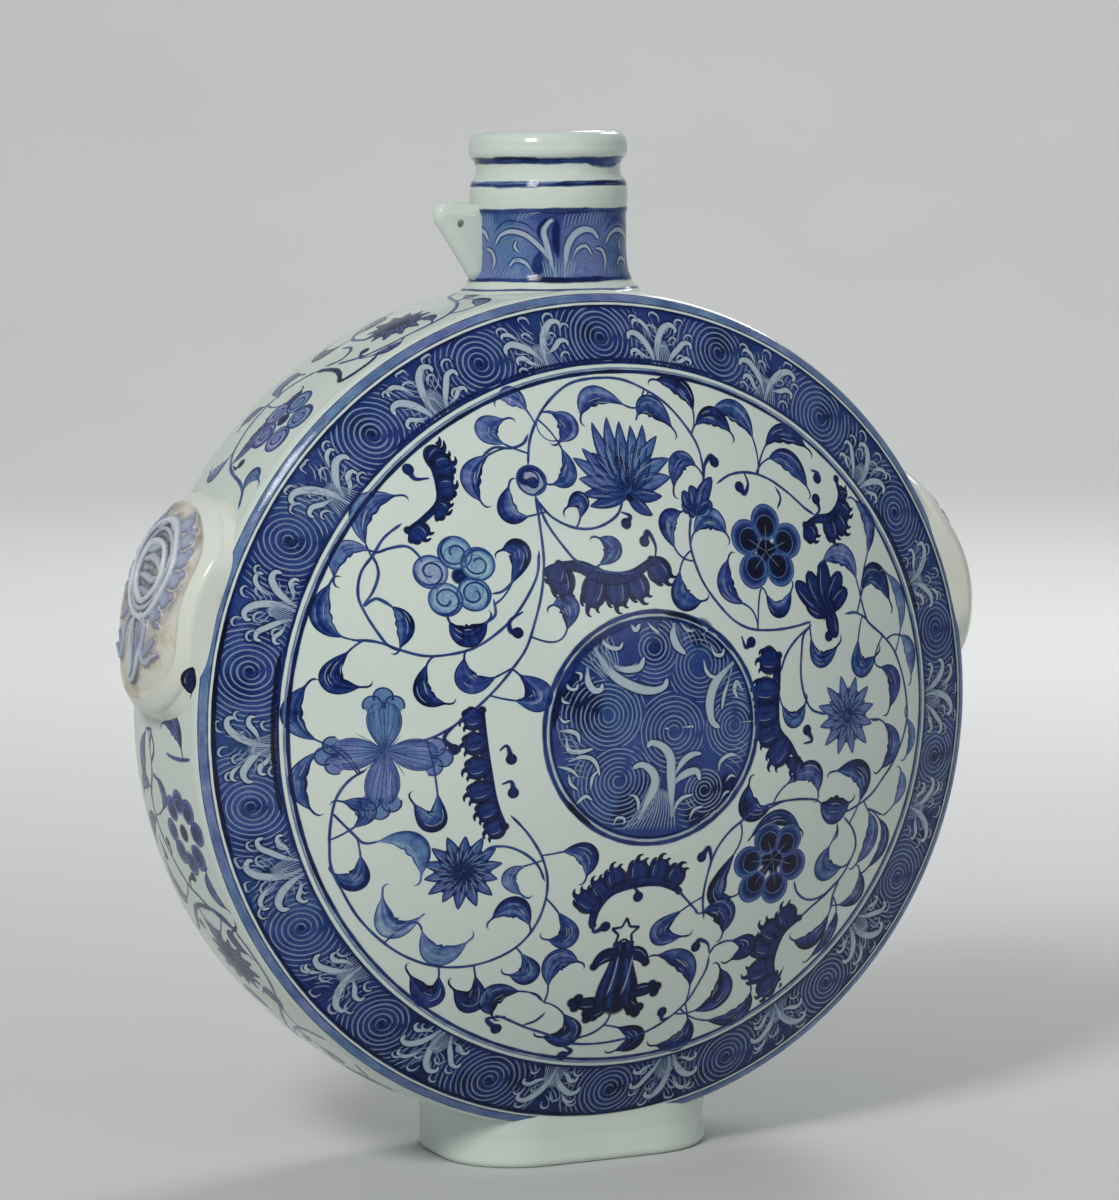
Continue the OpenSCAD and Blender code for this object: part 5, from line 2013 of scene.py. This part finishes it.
        # The raised share picks the carving's colour: painted shade on the flanks, slip, and a painted highlight on the
        # tops.
        tint = np.clip(raised * 0.42 + 0.22 * wash, 0, 1)
        return height, tint, shade * (1 - step(raised, 0.1, 0.6)) * (0.55 + 0.45 * wash)

    def build(self, paints: "Paints") -> None:
        """Make the carved panel and the collar in place of the plain solids.

        Args:
            paints: The materials.
        """
        angle = np.linspace(0, math.tau, self.steps + 1)
        shares = np.concatenate([[0.001], np.linspace(0.01, 1.0, 122)])
        runs = self.edge(angle)[:, None] * shares[None, :]
        flat = runs[:, :, None] * np.stack([np.cos(angle), np.sin(angle)], 1)[:, None, :]
        places = flat.reshape(-1, 2)
        height, tint, shade = self.carve(places)
        index = np.arange(len(places)).reshape(flat.shape[:2])
        faces = np.stack([index[:-1, :-1], index[:-1, 1:], index[1:, 1:], index[1:, :-1]], -1).reshape(-1, 4)
        panel = make_piece(self.name + "_carving", self.canvas.place(places, height), faces,
                           {"ink": tint, "shade": shade}, paints.carved)
        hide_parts(self.relief)
        rim = self.canvas.shoulder_at(angle)
        ends = rim + self.canvas.shoulder + self.canvas.flank
        share = np.linspace(0, 1, 72)
        start = self.edge(angle) - 0.15
        runs = start[:, None] + (ends - start)[:, None] * share[None, :]
        flat = runs[:, :, None] * np.stack([np.cos(angle), np.sin(angle)], 1)[:, None, :]
        places = flat.reshape(-1, 2)
        index = np.arange(len(places)).reshape(flat.shape[:2])
        faces = np.stack([index[:-1, :-1], index[:-1, 1:], index[1:, 1:], index[1:, :-1]], -1).reshape(-1, 4)
        low = step(share, 0.2, 0.9)[None, :] * np.ones((len(angle), 1))
        if self.patch:
            paint = Layer(self.canvas, self.name + "_collar_paint", 0.05, paints.cobalt, 7)
            ScrollPainter(paint, paint, paint, Inks()).petal((42.5, -39.0), (46.5, -26.0), 7.0, 0.98, 0.80, 0.1, 0.4)
            paint.line(((42.5, -39.0), (40.5, -47.0), (37.5, -56.0)), 1.6, 0.6, (1, 2))
            paint.build("painted_glaze")
        collar = make_piece(self.name + "_collar", self.canvas.place(places, np.zeros(len(places))), faces,
                            {"ink": low.ravel()}, paints.collar)
        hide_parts(self.node)


# Body, stage and camera


@dataclass
class Paints:
    """The finishes that the pieces share."""

    glaze: bpy.types.Material
    cobalt: bpy.types.Material
    reserve: bpy.types.Material
    carved: bpy.types.Material
    collar: bpy.types.Material


@dataclass
class FlaskBody:
    """The flask's own porcelain pieces, which keep their modelled shapes."""

    nodes: dict[str, bpy.types.Object]

    def dress(self, paints: Paints) -> None:
        """Glaze every porcelain piece.

        Args:
            paints: The materials.
        """
        for name, node in self.nodes.items():
            node.data.materials.clear()
            node.data.materials.append(paints.carved if name.endswith("relief") else paints.glaze)
            LOG.info("%s: glazed", name)


@dataclass
class Studio:
    """Pale floor, soft lamps and the camera."""

    lens: float = 133.52
    place: tuple[float, float, float] = (-0.80769, -1.88168, 0.46107)
    right: tuple[float, float, float] = (0.91781, -0.39678, -0.01378)
    up: tuple[float, float, float] = (0.05246, 0.08679, 0.99484)
    back: tuple[float, float, float] = (-0.39354, -0.91380, 0.10047)
    floor_r: float = 4.0
    rise: float = 3.0

    def camera(self) -> None:
        """Place the camera at the photograph's angle."""
        data = bpy.data.cameras.new("camera")
        data.lens = self.lens
        data.sensor_width = 36.0
        camera = bpy.data.objects.new("camera", data)
        columns = Matrix((self.right, self.up, self.back)).transposed().to_4x4()
        camera.matrix_world = Matrix.Translation(self.place) @ columns
        bpy.context.scene.collection.objects.link(camera)
        bpy.context.scene.camera = camera

    def lamp(self, name: str, place: tuple[float, float, float], size: tuple[float, float], power: float,
             colour: Colour, target: tuple[float, float, float] = (0.0, 0.0, 0.22)) -> None:
        """Hang a soft lamp.

        Args:
            name: The lamp's name.
            place: Where it hangs, in metres.
            size: Its width and height.
            power: Its power in watts.
            colour: Its colour.
            target: The point it faces.
        """
        data = bpy.data.lights.new(name, "AREA")
        data.shape = "RECTANGLE"
        data.size, data.size_y = size
        data.energy = power
        data.color = colour
        lamp = bpy.data.objects.new(name, data)
        lamp.location = place
        aim = Vector(target) - Vector(place)
        lamp.rotation_euler = aim.to_track_quat("-Z", "Y").to_euler()
        bpy.context.scene.collection.objects.link(lamp)

    def floor(self) -> None:
        """Lay a pale floor that rises all round into a seamless backdrop."""
        turn = np.linspace(0, math.tau, 97)
        bend = np.linspace(0, math.pi / 2, 25)
        reach = np.concatenate([[0.01, 0.5, 1.0, 2.0, 3.0], self.floor_r + self.rise * np.sin(bend)])
        height = np.concatenate([np.zeros(5), self.rise * (1 - np.cos(bend))])
        points = np.stack([reach[:, None] * np.cos(turn), reach[:, None] * np.sin(turn),
                           np.repeat(height[:, None], len(turn), axis=1)], -1).reshape(-1, 3)
        index = np.arange(len(points)).reshape(len(reach), len(turn))
        faces = np.stack([index[:-1, :-1], index[1:, :-1], index[1:, 1:], index[:-1, 1:]], -1).reshape(-1, 4)
        mesh = bpy.data.meshes.new("floor")
        mesh.from_pydata(points.tolist(), [], faces.tolist())
        mesh.polygons.foreach_set("use_smooth", np.ones(len(faces), dtype=bool))
        graph = Graph("floor")
        base = graph.mix(graph.noise(3.0, 3.0), (0.60, 0.61, 0.61), (0.64, 0.645, 0.64))
        mesh.materials.append(graph.surface(Base_Color=base, Roughness=0.7))
        floor = bpy.data.objects.new("floor", mesh)
        bpy.context.scene.collection.objects.link(floor)

    def build(self) -> None:
        """Set up camera, floor, lamps and the light all round."""
        self.camera()
        self.floor()
        world = bpy.data.worlds.new("studio")
        world.use_nodes = True
        background = world.node_tree.nodes["Background"]
        background.inputs["Color"].default_value = (0.56, 0.57, 0.58, 1.0)
        background.inputs["Strength"].default_value = 0.46
        bpy.context.scene.world = world
        self.lamp("key", (-2.0, -1.7, 2.4), (0.8, 0.8), 60.0, (1.0, 0.99, 0.97))
        self.lamp("front", (0.8, -3.0, 1.4), (1.6, 1.2), 9.0, (0.97, 0.985, 1.0))
        self.lamp("far", (1.6, 1.6, 2.0), (1.0, 1.0), 24.0, (1.0, 1.0, 1.0))
        self.lamp("backdrop", (1.0, 1.8, 3.4), (2.4, 1.2), 120.0, (1.0, 1.0, 1.0), (2.2, 5.6, 0.9))
        view = bpy.context.scene.view_settings
        view.view_transform = "Standard"
        bpy.context.scene.cycles.transparent_max_bounces = 24


def main() -> None:
    """Build every piece in order."""
    logging.basicConfig(level=logging.INFO, format="%(name)s: %(message)s")
    paints = Paints(
        WhiteGlaze("white_glaze").build(),
        Cobalt("cobalt_paint").build(),
        Reserve("reserved_white").build(),
        CarvedClay("carved_clay").build(),
        WhiteGlaze("collar_glaze", (0.72, 0.765, 0.70), (0.76, 0.76, 0.66), warmth=0.6, drips=0.7).build(),
    )
    Studio().build()
    FlaskBody(frame["nodes"]).dress(paints)
    for name, canvas, seed in (("front", FaceCanvas(), 11), ("back", FaceCanvas(back=True), 211)):
        FaceScroll(name, canvas, seed).build(paints)
        WaveBorder(name, canvas, seed + 20).build(paints)
        WaveRoundel(name, canvas, seed + 40).build(paints)
    WallScroll("left", WallCanvas(), 91).build(paints)
    WallScroll("right", WallCanvas(turned=True), 92).build(paints)
    NeckBand("neck_band", NeckCanvas(), 111).build(paints)
    CarvedBoss("left", BossCanvas(side=-1.0), "left_boss", "left_relief", patch=True).build(paints)
    CarvedBoss("right", BossCanvas(side=1.0), "right_boss", "right_relief").build(paints)


if __name__ == "__main__":
    main()
